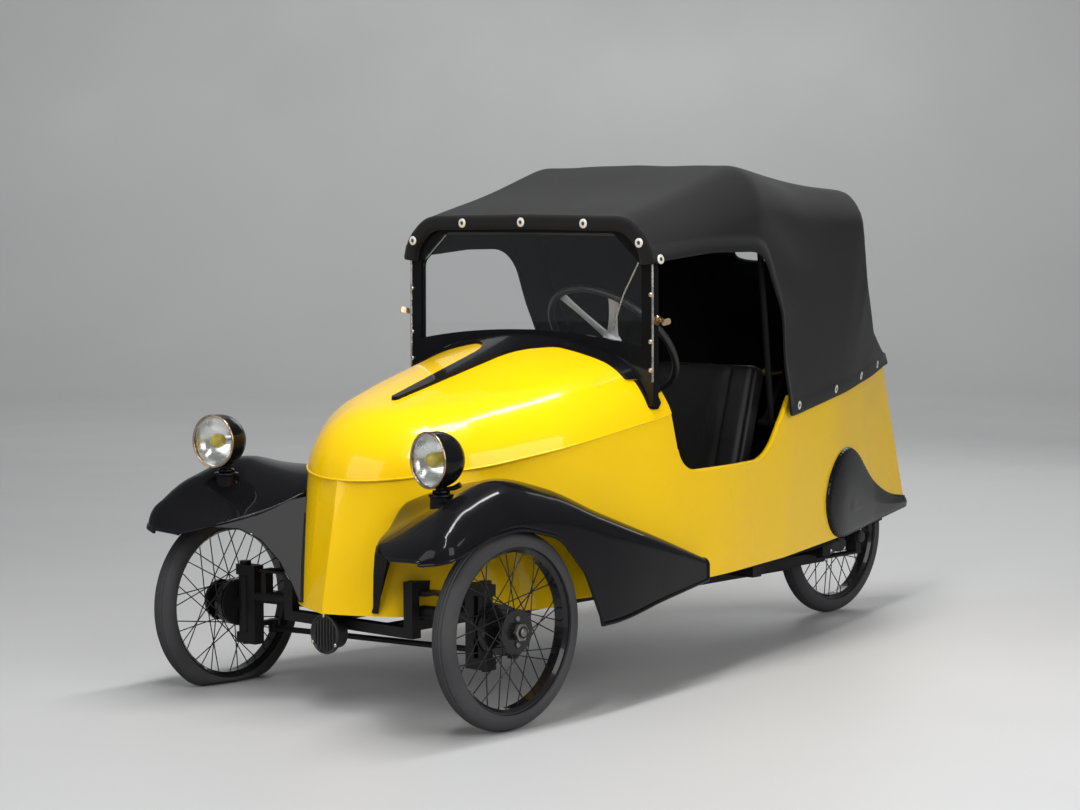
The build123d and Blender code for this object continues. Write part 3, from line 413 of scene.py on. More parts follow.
wheel_black = finish("wheel_black", (0.008, 0.008, 0.009), (0.014, 0.014, 0.014),
                     rough=(0.16, 0.32), scale=10.0, bump=0.04, Coat_Weight=0.6, Coat_Roughness=0.04,
                     Coat_IOR=1.38, Specular_IOR_Level=0.1)
dull_steel = finish("dull_steel", (0.24, 0.23, 0.22), (0.16, 0.155, 0.15),
                    rough=(0.3, 0.48), scale=40.0, bump=0.08, Metallic=0.9)
nickel = finish("nickel", (0.62, 0.58, 0.52), (0.52, 0.48, 0.42),
                rough=(0.18, 0.34), scale=60.0, bump=0.05, Metallic=1.0)
brass = finish("lamp_brass", (0.46, 0.34, 0.22), (0.38, 0.27, 0.17),
               rough=(0.2, 0.34), scale=50.0, bump=0.05, Metallic=1.0)
ivory = finish("stud_ivory", (0.70, 0.68, 0.62), (0.60, 0.58, 0.52),
               rough=(0.3, 0.45), scale=80.0, bump=0.05)
alloy = finish("cast_alloy", (0.90, 0.90, 0.91), (0.82, 0.82, 0.83),
               rough=(0.32, 0.46), scale=30.0, grain=900.0, bump=0.12, Metallic=0.1)
steel = finish("dark_steel", (0.045, 0.043, 0.042), (0.075, 0.07, 0.066),
               rough=(0.35, 0.6), scale=20.0, bump=0.15, Metallic=0.7)
mirror = finish("reflector", (0.88, 0.88, 0.87), (0.80, 0.80, 0.79),
                rough=(0.2, 0.34), scale=25.0, bump=0.04, Metallic=1.0)
amber = finish("amber_bulb", (0.80, 0.62, 0.02), (0.70, 0.50, 0.02),
               rough=(0.1, 0.2), scale=40.0, bump=0.02, Coat_Weight=0.6)
leather = finish("black_leather", (0.012, 0.012, 0.012), (0.020, 0.019, 0.019),
                 rough=(0.42, 0.6), scale=12.0, grain=380.0, bump=0.35, Specular_IOR_Level=0.25)
cloth = canvas("black_canvas", (0.0085, 0.0085, 0.0092), (0.0115, 0.0115, 0.0122), 620.0)
binding = canvas("canvas_binding", (0.006, 0.006, 0.0065), (0.008, 0.008, 0.0085), 620.0)
glass = clear("clear_glass", (0.97, 0.985, 0.98), rough=0.0)
pane = clear("clear_pane", (0.95, 0.96, 0.95), rough=0.02)

FINISH_OF = {
    yellow: ["lower_body", "bonnet"],
    black: ["scuttle_spear", "fender_left", "fender_right", "fender_valances", "lamp_shells", "lamp_stands",
            "tail_spats", "windscreen_frame", "screen_brackets"],
    chassis_black: ["chassis_frame", "front_axle", "kingpins", "front_spring", "rear_springs", "knuckle_left",
                    "knuckle_right", "tie_rod", "horn", "steering_column", "pedals"],
    lining: ["floor_pan", "toe_board", "dash_panel", "hood_frame"],
    leather: ["seat_cushion", "seat_back"],
    wheel_black: ["wheel_left", "wheel_right", "wheel_rear"],
    rubber: ["tyre_left", "tyre_right", "tyre_rear"],
    steel: ["engine_block", "drive_chain", "rear_sprocket", "rear_axle"],
    brass: ["wing_nuts"],
    alloy: ["steering_wheel"],
    mirror: ["lamp_reflectors"],
    glass: ["windscreen_glass", "lamp_lenses"],
    pane: ["rear_window"],
    cloth: ["soft_top"],
}
for material, names in FINISH_OF.items():
    for name in names:
        nodes[name].data.materials.clear()
        nodes[name].data.materials.append(material)
print("finishes on", sum(len(names) for names in FINISH_OF.values()), "solids")


# %% [markdown]
# Camera and light. The camera stands where the picture was taken from: in front of the car on its left, as
# high as the head of the windscreen, with a long lens. The floor is a pale sheet that rises behind the car.
# Long lamps overhead give the streaks along the paint, and broad ones round the car fill the shadows.

# %% Camera, floor and light
CAMERA_AT = (4182.0, 4337.0, 1158.0)
CAMERA_YAW, CAMERA_PITCH, CAMERA_ROLL = -2.4077, -0.0760, -0.0023
CAMERA_LENS = 86.77
SENSOR_WIDTH = 36.0

camera = bpy.data.objects.new("camera", bpy.data.cameras.new("camera"))
bpy.context.scene.collection.objects.link(camera)
camera.data.lens = CAMERA_LENS
camera.data.sensor_width = SENSOR_WIDTH
camera.location = place(CAMERA_AT)
level = math.cos(CAMERA_PITCH)
forward = Vector((math.cos(CAMERA_YAW) * level, math.sin(CAMERA_YAW) * level, math.sin(CAMERA_PITCH)))
camera.rotation_mode = "QUATERNION"
camera.rotation_quaternion = forward.to_track_quat("-Z", "Y") @ Quaternion((0, 0, 1), CAMERA_ROLL)
bpy.context.scene.camera = camera

FLOOR_FROM, FLOOR_WIDTH = -14.0, 40.0
WALL_AT, WALL_CURVE, WALL_HEIGHT = 9.0, 3.0, 9.0


def backdrop():
    """Floor and wall as one sheet: flat, then a quarter circle, then upright; carried across the view."""
    bend = np.linspace(0, np.pi / 2, 16)
    run = np.concatenate([[FLOOR_FROM, 0.0], WALL_AT + WALL_CURVE * np.sin(bend), [WALL_AT + WALL_CURVE]])
    rise = np.concatenate([[0.0, 0.0], WALL_CURVE * (1 - np.cos(bend)), [WALL_HEIGHT]])
    away = np.array([forward.x, forward.y, 0.0]) / math.hypot(forward.x, forward.y)
    side = np.array([-away[1], away[0], 0.0])
    across = np.linspace(-FLOOR_WIDTH / 2, FLOOR_WIDTH / 2, 2)
    upright = rise[:, None, None] * np.array([0, 0, 1.0])
    points = run[:, None, None] * away + across[None, :, None] * side + upright
    return points.reshape(-1, 3), grid_faces(len(run), 2)


def area_light(name, at, aim, size, power):
    """A soft rectangular lamp at one point, facing another."""
    lamp = bpy.data.objects.new(name, bpy.data.lights.new(name, "AREA"))
    lamp.data.shape = "RECTANGLE"
    lamp.data.size, lamp.data.size_y = size
    lamp.data.energy = power
    lamp.location = at
    lamp.rotation_mode = "QUATERNION"
    lamp.rotation_quaternion = (Vector(aim) - Vector(at)).to_track_quat("-Z", "Y")
    bpy.context.scene.collection.objects.link(lamp)


floor_grey = finish("studio_floor", (0.46, 0.46, 0.46), (0.43, 0.43, 0.43),
                    rough=(0.45, 0.6), scale=0.6, grain=60.0, bump=0.03)
points, faces = backdrop()
sheet_mesh = bpy.data.meshes.new("studio_floor")
sheet_mesh.from_pydata(points.tolist(), [], faces)
sheet_mesh.shade_smooth()
sheet_mesh.materials.append(floor_grey)
studio = bpy.data.objects.new("studio_floor", sheet_mesh)
bpy.context.scene.collection.objects.link(studio)

# Columns: name, place, aim, size and power, in metres and watts
LAMPS = [
    ("overhead_front", (2.6, 1.2, 4.2), (0.6, 0.2, 0.5), (0.25, 3.6), 95.0),
    ("overhead_middle", (0.2, 0.4, 4.6), (0.2, 0.0, 0.5), (3.4, 0.4), 135.0),
    ("left_wall", (1.5, 5.0, 2.6), (0.0, 0.0, 0.6), (5.0, 2.6), 185.0),
    ("front_wall", (6.0, -1.5, 2.6), (0.5, 0.0, 0.5), (4.0, 2.6), 92.0),
    ("back_fill", (-4.5, -1.5, 3.2), (0.0, 0.0, 0.6), (4.0, 2.5), 70.0),
    ("wall_wash", (-4.1, -3.7, 7.0), (-9.6, -8.6, 2.2), (10.0, 2.0), 420.0),
]
for name, at, aim, size, power in LAMPS:
    area_light(name, at, aim, size, power)
world = bpy.data.worlds.new("studio")
world.use_nodes = True
sky = world.node_tree.nodes["Background"]
sky.inputs["Color"].default_value = (0.80, 0.82, 0.86, 1)
sky.inputs["Strength"].default_value = 0.25
bpy.context.scene.world = world
bpy.context.scene.view_settings.view_transform = "Standard"
print("camera at", tuple(round(c, 3) for c in camera.location), "with", len(LAMPS), "lamps")


# %% [markdown]
# The body's sides are straight lines between two plan outlines, one low and one high. The lining, the beads
# and the fenders all lean on that surface, so its half width is tabulated once over x and z.

# %% Body outline
# Columns: x and half width at the low outline, x and half width at the high outline, corner radius
HULL_TABLE = np.array([
    (124.0, 0.0, 24.0, 0.0, 0.0), (91.0, 80.0, 28.0, 80.0, 200.0), (55.0, 158.0, -18.0, 158.0, 150.0),
    (-35.0, 240.0, -110.0, 258.0, 150.0), (-300.0, 345.0, -330.0, 372.0, 700.0),
    (-640.0, 392.0, -640.0, 406.0, 900.0),
    (-900.0, 372.0, -900.0, 396.0, 1300.0), (-1250.0, 302.0, -1235.0, 330.0, 1500.0),
    (-1600.0, 218.0, -1560.0, 232.0, 1500.0), (-1900.0, 118.0, -1830.0, 128.0, 900.0),
    (-2230.0, 18.0, -2070.0, 18.0, 14.0), (-2247.0, 0.0, -2081.0, 0.0, 0.0)])
HULL_LOW_Z, HULL_HIGH_Z = 220.0, 780.0
CUT_FRONT_X, CUT_REAR_X, CUT_FLOOR_Z = -612.0, -1232.0, 512.0
BELT_FRONT_Z, BELT_STERN_Z, STERN_X = 655.0, 704.0, -2105.0

OUTLINES = [rounded_line(HULL_TABLE[:, k:k + 2], HULL_TABLE[:, 4], 14) for k in (0, 2)]
HULL_X = np.linspace(-2260, 130, 900)
HULL_Z = np.linspace(180, 820, 65)


def hull_line(z):
    """Half outline at height z: the two rounded outlines mixed by height."""
    t = (z - HULL_LOW_Z) / (HULL_HIGH_Z - HULL_LOW_Z)
    return OUTLINES[0] * (1 - t) + OUTLINES[1] * t


HULL_Y = np.stack([np.interp(HULL_X, hull_line(z)[::-1, 0], hull_line(z)[::-1, 1], 0, 0) for z in HULL_Z], 1)


def hull_y(x, z):
    """Half width of the body at x and z, read between the lines of the table."""
    i = np.clip((np.asarray(x, float) - HULL_X[0]) / (HULL_X[1] - HULL_X[0]), 0, len(HULL_X) - 1.001)
    j = np.clip((np.asarray(z, float) - HULL_Z[0]) / (HULL_Z[1] - HULL_Z[0]), 0, len(HULL_Z) - 1.001)
    i0, j0 = i.astype(int), j.astype(int)
    a, b = i - i0, j - j0
    low = HULL_Y[i0, j0] * (1 - a) + HULL_Y[i0 + 1, j0] * a
    high = HULL_Y[i0, j0 + 1] * (1 - a) + HULL_Y[i0 + 1, j0 + 1] * a
    return low * (1 - b) + high * b


def belt_z(x):
    """Height of the body's upper edge behind the cockpit: a straight line to the stern."""
    t = (CUT_REAR_X - np.asarray(x, float)) / (CUT_REAR_X - STERN_X)
    return BELT_FRONT_Z + (BELT_STERN_Z - BELT_FRONT_Z) * t


CUT_LINE = rounded_line(
    [(CUT_FRONT_X, 800), (CUT_FRONT_X, 790), (CUT_FRONT_X - 88, CUT_FLOOR_Z), (CUT_REAR_X + 127, CUT_FLOOR_Z),
     (CUT_REAR_X, BELT_FRONT_Z + 12)], [0, 5, 85, 150, 0], 16)
print("body outline tabulated at", HULL_Y.size, "points")


# %% [markdown]
# Inside, the tub is trimmed in black. The lining is a sheet just inside the body wall, from the floor up to
# the cockpit edge or belt. A yellow rolled bead finishes the edge of each cockpit cut-out.

# %% Lining and cockpit beads
LINING_FROM_X, LINING_TO_X, FLOOR_Z = -195.0, -2040.0, 252.0
WALL, LINING_GAP, EDGE_DROP = 14.0, 4.0, 7.0
BEAD_TOP_Z, BEAD_RADIUS = 676.0, 0.0072
SEAM_Z_AT_AXLE, SEAM_RISE = 545.0, 0.18


def seam_z(x):
    """Height of the plane on which the bonnet sits, rising towards the windscreen."""
    return SEAM_Z_AT_AXLE - SEAM_RISE * x


def lining_side():
    """Sheet on the left wall: rows along x, columns from the floor to the edge above."""
    x = np.linspace(LINING_FROM_X, LINING_TO_X, 180)
    cut = np.interp(x, CUT_LINE[::-1, 0], CUT_LINE[::-1, 1])
    top = np.where(x > CUT_FRONT_X, seam_z(x), np.where(x < CUT_REAR_X, belt_z(x), cut)) - EDGE_DROP
    z = FLOOR_Z + (top - FLOOR_Z)[:, None] * np.linspace(0, 1, 14)[None]
    across = np.broadcast_to(x[:, None], z.shape)
    y = hull_y(across, z) - WALL - LINING_GAP
    points = place(np.stack([across, y, z], -1))
    return points.reshape(-1, 3), grid_faces(*z.shape)


def cockpit_bead():
    """Bead along the cut-out's edge, from the windscreen bracket round to the belt, on the body's surface."""
    line = resampled(CUT_LINE[CUT_LINE[:, 1] < BEAD_TOP_Z], 150)
    y = hull_y(line[:, 0], line[:, 1]) - WALL / 2
    return tube(place(np.stack([line[:, 0], y, line[:, 1]], 1)), BEAD_RADIUS, 12)


trim = piece("cockpit_lining", both_sides(lining_side()), lining, "body", closed=False)
thicken(trim, 0.002, 0.0)
piece("cockpit_beads", both_sides(cockpit_bead()), yellow, "body")
print("lining and cockpit beads made")


# %% [markdown]
# The fenders are pressed clamshells. Each section across the fender is a line from the body out to the
# shoulder, a round shoulder, and a short wall down to the wheel arch. The table gives a few sections, and a
# smooth curve through each column gives the rest, so that reflections run cleanly along the sheet.

# %% Fenders
# Columns: x, inner edge y and z, shoulder y and z, lower edge y and z, shoulder radius
FENDER_TABLE = np.array([
    (250.0, 350.0, 398.0, 440.0, 402.0, 441.0, 388.0, 8.0),
    (232.0, 306.0, 408.0, 482.0, 440.0, 484.0, 340.0, 32.0),
    (205.0, 268.0, 420.0, 503.0, 476.0, 505.0, 300.0, 56.0),
    (125.0, 221.0, 441.0, 506.0, 560.0, 508.0, 250.0, 85.0),
    (0.0, 165.0, 492.0, 506.0, 584.0, 508.0, 205.0, 95.0),
    (-150.0, 250.0, 535.0, 502.0, 526.0, 504.0, 206.0, 80.0),
    (-320.0, 300.0, 468.0, 494.0, 458.0, 496.0, 208.0, 56.0),
    (-560.0, 350.0, 378.0, 462.0, 376.0, 462.0, 234.0, 34.0),
    (-768.0, 370.0, 302.0, 424.0, 302.0, 424.0, 253.0, 14.0)])
ARCH_REAR_X, ARCH_FRONT_Z = -298.0, 388.0
ARCH_LINE = rounded_line(
    [(ARCH_REAR_X, 100), (-282, 226), (-224, 335), (-134, 424), (0, 456), (95, 446), (180, 417),
     (270, ARCH_FRONT_Z)], [0, 30, 90, 120, 200, 200, 200, 0], 12)
FENDER_SHEET, FENDER_ROLL = 0.004, 0.0042
FENDER_FREE_X = 8.0          # ahead of this the inner edge stands clear of the body
FENDER_TIP_X = 190.0         # ahead of this the rows lie closer together


def smooth_columns(table, x):
    """Reads a table at many x: cubics between rows, with the harmonic mean of the slopes at each row."""
    knots, values = table[:, 0], table[:, 1:]
    slope = np.diff(values, axis=0) / np.diff(knots)[:, None]
    product = slope[1:] * slope[:-1]
    mean = np.where(product > 0, 2 * product / np.where(product > 0, slope[1:] + slope[:-1], 1), 0)
    bend = np.concatenate([slope[:1], mean, slope[-1:]])
    k = np.clip(np.searchsorted(-knots, -x, side="right") - 1, 0, len(knots) - 2)
    run = (knots[k + 1] - knots[k])[:, None]
    t = ((x - knots[k]) / run[:, 0])[:, None]
    return ((1 + 2 * t) * (1 - t) ** 2 * values[k] + t * (1 - t) ** 2 * run * bend[k]
            + t * t * (3 - 2 * t) * values[k + 1] + t * t * (t - 1) * run * bend[k + 1])


def fender_grid():
    """Rows along x, columns across the sheet from the body to the lower edge, in millimetres."""
    front, rear = FENDER_TABLE[0, 0], FENDER_TABLE[-1, 0]
    x = np.concatenate([np.linspace(front, FENDER_TIP_X, 26)[:-1], np.linspace(FENDER_TIP_X, rear, 170)])
    arch = np.interp(x, ARCH_LINE[:, 0], ARCH_LINE[:, 1], 0, ARCH_FRONT_Z)
    rows = []
    for at, low, (yi, zi, ys, zs, yl, zl, r) in zip(x, arch, smooth_columns(FENDER_TABLE, x)):
        start = min(float(hull_y(at, zi)) - 2, yi) if at < FENDER_FREE_X else yi
        start_z = zi + (zs - zi) * (start - yi) / (ys - yi)
        low = max(zl, low) if at > ARCH_REAR_X else zl
        corner = min(r, 0.8 * (zs - low))
        section = rounded_line([(start, start_z), (ys, zs), (yl, low)], [0, corner, 0], 14)
        rows.append(resampled(section, 44))
    rows = np.array(rows)
    return np.concatenate([np.broadcast_to(x[:, None, None], rows.shape[:2] + (1,)), rows], -1)


grid = fender_grid()
sheet_part = (place(grid).reshape(-1, 3), [face[::-1] for face in grid_faces(*grid.shape[:2])])
free_edge = np.concatenate([grid[0], grid[1:, -1], grid[-1][::-1]])
roll = tube(place(resampled(free_edge, 420)) - [0, 0, FENDER_SHEET / 2], FENDER_ROLL, 8)
for side, part, edge in (("left", sheet_part, roll), ("right", mirrored(sheet_part), mirrored(roll))):
    made = piece(f"fender_sheet_{side}", part, black, "body", [f"fender_{side}"], closed=False,
                 angle=60)
    thicken(made, FENDER_SHEET, -1.0)
    piece(f"fender_roll_{side}", edge, black, "body")
print("fenders:", grid.shape, "points each")


# %% [markdown]
# The soft top is one sheet of black duck canvas, stretched over two bows and buttoned to the windscreen and
# the belt. A section across the car is a side, a round shoulder and a nearly flat roof. The sheet stops at
# the edge of each side opening, so every row starts where the section meets that edge, and a double hem lies
# along it.

# %% Soft top
HEM_LAP, STERN_LAP, HEM_CLEAR = 34.0, 4.0, 11.0
TOP_FRONT_X, BOW_X = -566.0, (-989.0, -1568.0)


def hem_z(x):
    """Height of the hem: it laps over the belt, less and less towards the stern."""
    return belt_z(x) - np.interp(x, [STERN_X, CUT_REAR_X], [STERN_LAP, HEM_LAP])


def hem_row(x):
    """Half width and height of the hem where it hangs over the body's sides."""
    low = float(hem_z(x))
    return float(max(hull_y(x, belt_z(x)), hull_y(x, low))) + HEM_CLEAR, low


# Columns: x, hem half width and height, shoulder half width and height, roof half width and height, radius
TOP_TABLE = np.array([
    (TOP_FRONT_X, 412.0, 640.0, 411.0, 1064.0, 338.0, 1131.0, 100.0),
    (BOW_X[0], 408.0, 640.0, 408.0, 1200.0, 330.0, 1259.0, 112.0),
    (-1232.0, *hem_row(-1232), 368.0, 1165.0, 300.0, 1233.0, 92.0),
    (-1400.0, *hem_row(-1400), 342.0, 1150.0, 288.0, 1213.0, 78.0),
    (BOW_X[1], *hem_row(BOW_X[1]), 316.0, 1138.0, 272.0, 1197.0, 62.0),
    (-1660.0, *hem_row(-1660), 268.0, 962.0, 222.0, 1004.0, 46.0),
    (-1860.0, *hem_row(-1860), 146.0, 806.0, 112.0, 846.0, 30.0),
    (-2112.0, 17.0, float(hem_z(STERN_X)), 14.0, 718.0, 8.0, 728.0, 3.0)])
EDGE_FRONT = [(-480, 1024), (-600, 1030), (-800, 1048)]
EDGE_FOOT = [(-1198, 650), (-1212, 621), (-1240, 621)]
LEFT_EDGE = rounded_line(EDGE_FRONT + [(-1010, 1048), (-1128, 890), (-1166, 730)] + EDGE_FOOT,
                         [0, 100, 200, 120, 200, 150, 12, 12, 0], 16)
RIGHT_EDGE = rounded_line(EDGE_FRONT + [(-975, 1048), (-1020, 900), (-1070, 780)] + EDGE_FOOT,
                          [0, 100, 150, 105, 150, 120, 12, 12, 0], 16)
SOFTEN = 13.0
HEM_STEPS = np.array([0.0, 3.0, 30.0, 33.0])
HEM_RAISE = np.array([1.2, 2.2, 1.8, 0.0])
CROWN_SLOPE = 4.0 / 300.0
SAG_FRONT, SAG_MIDDLE, PULL, FOLD, FOLD_REACH = 5.0, 9.0, 1.6, 1.3, 130.0
CANVAS = 0.0024
ROW_STEP, FINE_STEP, FINE_FROM_X, FINE_TO_X = 6.0, 2.0, -1240.0, -940.0
CAR_MIDDLE = np.array([-1200.0, 0.0, 800.0])
ROOF_FROM_Z, ROOF_BLEND = 1000.0, 150.0


def softened(table, x):
    """Straight lines between the rows, blurred along x so that the cloth bends over the bows."""
    fine = np.arange(table[-1, 0] - 60, table[0, 0] + 61, 1.0)
    inside = np.clip(fine, table[-1, 0], table[0, 0])
    columns = []
    for k in range(1, table.shape[1]):
        plain = np.interp(inside, table[::-1, 0], table[::-1, k])
        blurred = np.convolve(plain, bell(45, SOFTEN), mode="same")
        columns.append(np.interp(x, fine, blurred))
    return np.stack(columns, 1)


def half_section(row, low, count):
    """One side of a section, from lower edge to middle, the hem's steps first; also distances along it."""
    hem_w, hem_low, side_w, side_z, roof_w, roof_z, r = row
    ridge_z = roof_z + CROWN_SLOPE * roof_w
    dense = rounded_line([(hem_w, min(hem_low, low) - 1), (side_w, side_z), (roof_w, roof_z), (0, ridge_z)],
                         [0, r, r, 0], 14)
    run = np.concatenate([[0], np.cumsum(np.linalg.norm(np.diff(dense, axis=0), axis=1))])
    rising = np.maximum.accumulate(dense[:, 1])
    start = np.interp(low, rising + np.arange(len(rising)) * 1e-6, run)
    length = run[-1] - start
    steps = np.concatenate([HEM_STEPS, np.linspace(HEM_STEPS[-1], length, count - 3)[1:]])
    at = start + np.minimum(steps, length)
    return np.stack([np.interp(at, run, dense[:, 0]), np.interp(at, run, dense[:, 1])], 1), steps


def soft_top_grid(count=52):
    """Rows along the car, columns from the left edge over the roof to the right; with the UV in metres."""
    coarse = np.arange(TOP_TABLE[-1, 0], TOP_FRONT_X + 0.1, ROW_STEP)
    fine = np.arange(FINE_FROM_X, FINE_TO_X, FINE_STEP)
    stations = np.unique(np.concatenate([coarse, fine, [TOP_FRONT_X]]))[::-1]
    rows = softened(TOP_TABLE, stations)
    hem = np.where(stations < CUT_REAR_X, hem_z(stations), 0)
    edges = [np.where(stations < CUT_REAR_X, hem, np.interp(stations, e[::-1, 0], e[::-1, 1]))
             for e in (LEFT_EDGE, RIGHT_EDGE)]
    points, lengths = [], []
    for x, row, low_left, low_right in zip(stations, rows, *edges):
        left, run_left = half_section(row, low_left, count)
        right, run_right = half_section(row, low_right, count)
        section = np.concatenate([left, (right * [-1, 1])[::-1][1:]])
        points.append(np.concatenate([np.full((len(section), 1), x), section], 1))
        lengths.append(np.concatenate([run_left - run_left[-1], (run_right[-1] - run_right)[::-1][1:]]))
    points = np.array(points)
    middle = points[:, count - 1]
    along = np.concatenate([[0], np.cumsum(np.linalg.norm(np.diff(middle, axis=0), axis=1))])
    uv = np.stack([np.broadcast_to(along[:, None], np.shape(lengths)), np.array(lengths)], -1) / 1000.0
    return points, uv


def normals_of(grid):
    """Unit normals of a grid of points, turned away from the middle of the car."""
    n = unit(np.cross(np.gradient(grid, axis=0), np.gradient(grid, axis=1)))
    away = grid - CAR_MIDDLE
    return n * np.sign((n * away).sum(-1).mean())


def slack(points, uv):
    """How far the cloth leaves its straight form: sag between supports, and soft pulls near the bows."""
    x = points[..., 0]
    high = np.clip((points[..., 2] - ROOF_FROM_Z) / ROOF_BLEND, 0, 1)
    t1 = np.clip((TOP_FRONT_X - x) / (TOP_FRONT_X - BOW_X[0]), 0, 1)
    t2 = np.clip((BOW_X[0] - x) / (BOW_X[0] - BOW_X[1]), 0, 1)
    sag = SAG_FRONT * np.sin(np.pi * t1) ** 2 + SAG_MIDDLE * np.sin(np.pi * t2) ** 2
    u, v = uv[..., 0], uv[..., 1]
    pulls = PULL * np.sin(7.0 * u + 4.0 * v + 1.4 * np.sin(5.0 * v)) * np.sin(9.0 * v - 2.5 * u)
    folds = FOLD * np.sin(38.0 * v + 6.0 * u) * np.exp(-((x - BOW_X[0] + FOLD_REACH) / FOLD_REACH) ** 2)
    return -sag * high + (pulls + folds) * np.clip(t1 * 6, 0, 1)


top, top_uv = soft_top_grid()
top_x = top[:, 0, 0].copy()
top_normal = normals_of(top)
raise_hem = np.zeros(top.shape[1])
raise_hem[:4] = HEM_RAISE
raise_hem[-4:] = HEM_RAISE[::-1]
top = top + top_normal * (slack(top, top_uv) + raise_hem)[..., None]

WINDOW_HALF, WINDOW_Z, WINDOW_RISE = 189.0, 1049.0, 47.0
quads = np.array(grid_faces(*top.shape[:2]))
middle = top.reshape(-1, 3)[quads].mean(1)
inside = (np.abs(middle[:, 1]) / WINDOW_HALF) ** 6 + (np.abs(middle[:, 2] - WINDOW_Z) / WINDOW_RISE) ** 6 < 1
quads = quads[~(inside & (middle[:, 0] < BOW_X[1]))]
canopy = piece("canvas_top", (place(top).reshape(-1, 3), quads.tolist()), cloth, "body",
               ["soft_top"], closed=False, uv=top_uv, angle=70)
if canopy.data.polygons[len(quads) // 2].normal.z < 0:
    canopy.data.flip_normals()
thicken(canopy, CANVAS, -1.0)


# %% [markdown]
# The edges of the top. A padded band buttons over the head of the windscreen, with a board behind it. Piping
# binds the free edges, a felled seam lies along each corner of the roof, and press studs hold the hem to the
# body.

# %% Hem band, seams and studs
BAND_END_Z, BAND_WIDTH, BAND_BACK_X, BAND_BULGE = 1024.0, 34.0, -583.0, 5.0
BAND_HEAD_Z = 1080.0         # above this the band crosses the head of the windscreen
BOARD_WIDTH, BOARD_BACK_X = 46.0, -597.0
STRIP_LAP, PIPING_RADIUS = 1.5, 0.0024
SEAM_FROM_X, SEAM_HALF, SEAM_RADIUS = -570.0, (366.0, 372.0), 0.0015
WINDOW_LAP, WINDOW_PROUD, WINDOW_ROLL = 2.0, 1.5, 0.0065
STUD_RING = [(0.0, 11.5), (2.2, 11.5), (3.2, 10.0), (3.2, 5.6), (1.2, 5.0)]
STUD_CORE = [(1.0, 4.7), (3.0, 4.2), (3.9, 2.0)]
# Columns: half width and height of the studs on the band
BAND_STUDS = ((0.0, None), (204.0, None), (374.0, 1072.0))
BAND_STUD_X, STUD_PROUD = TOP_FRONT_X + 5.5, 1.5
SIDE_STUD_X, SIDE_STUD_Z = -592.0, 1042.0
HEM_STUDS_X = (-1258.0, -1530.0, -1765.0, -1965.0)


def band_path():
    """Edge of the first section across the car, with its directions into the band."""
    row = softened(TOP_TABLE, np.array([TOP_FRONT_X]))[0]
    half, _ = half_section(row, BAND_END_Z, 70)
    path = resampled(np.concatenate([half, (half * [-1, 1])[::-1][1:]]), 180)
    along = unit(np.gradient(path, axis=0))
    return path, np.stack([-along[:, 1], along[:, 0]], 1)


def header_strip(width, front_x, back_x, bulge):
    """Strip along the edge: a flat back and a front that bulges like a quartic."""
    path, inward = band_path()
    w = np.linspace(-STRIP_LAP, width, 12)
    front = front_x + bulge * (1 - ((w - width / 2) / (width / 2 + STRIP_LAP)) ** 4)
    profile = np.concatenate([np.stack([w, front], 1), [(width, back_x), (-STRIP_LAP, back_x)]])
    across = path[:, None] + inward[:, None] * profile[None, :, :1]
    x = np.broadcast_to(profile[None, :, 1:], across.shape[:2] + (1,))
    return place(np.concatenate([x, across], -1)).reshape(-1, 3), capped_faces(len(path), len(profile))


def row_at(x):
    """Number of the canvas row nearest to x."""
    return int(np.argmin(np.abs(top_x - x)))


def corner_seam():
    """Seam on the left roof corner, from the windscreen to the front bow."""
    rows = np.arange(row_at(SEAM_FROM_X), row_at(BOW_X[0]))
    half = top.shape[1] // 2
    width = np.interp(top_x[rows], [BOW_X[0], TOP_FRONT_X], SEAM_HALF)
    line = [[np.interp(w, r[::-1, 1], r[::-1, k]) for k in range(3)] for w, r in zip(width, top[rows, :half])]
    return tube(place(resampled(line, 60)), SEAM_RADIUS, 8)


def stud(at, facing):
    """One press stud: a washer and a domed core, standing on a point of the cloth."""
    return turned(STUD_RING, at, facing, 20), turned(STUD_CORE, at, facing, 12)


studs = []
path, inward = band_path()
middle_line = path + inward * BAND_WIDTH / 2
for y, z in BAND_STUDS:
    for side in (1, -1) if y else (1,):
        if z is None:
            off = np.abs(middle_line[:, 0] - side * y) + 1000 * (middle_line[:, 1] < BAND_HEAD_Z)
        else:
            off = np.hypot(middle_line[:, 0] - side * y, middle_line[:, 1] - z)
        k = int(np.argmin(off))
        studs.append(stud((BAND_STUD_X, *middle_line[k]), (1, 0, 0)))
for x in HEM_STUDS_X:
    r = row_at(x)
    for columns in ((1, 2), (-2, -3)):
        at = top[r, columns[0]] * 0.35 + top[r, columns[1]] * 0.65
        studs.append(stud(at, top_normal[r, columns[1]]))
r = row_at(SIDE_STUD_X)
half = top.shape[1] // 2
for columns in (np.arange(half), np.arange(half, top.shape[1])):
    k = columns[np.argmin(np.abs(top[r, columns, 2] - SIDE_STUD_Z))]
    studs.append(stud(top[r, k] + top_normal[r, k] * STUD_PROUD, top_normal[r, k]))

window_turn = np.linspace(0, 2 * np.pi, 140, endpoint=False)
window_y = (WINDOW_HALF + WINDOW_LAP) * np.cbrt(np.cos(window_turn))
window_z = WINDOW_Z + (WINDOW_RISE + WINDOW_LAP) * np.cbrt(np.sin(window_turn))
back = top[top_x < BOW_X[1] + 6, half]
window_x = np.interp(window_z, back[::-1, 2], back[::-1, 0])
window_loop = np.stack([window_x - WINDOW_PROUD, window_y, window_z], 1)

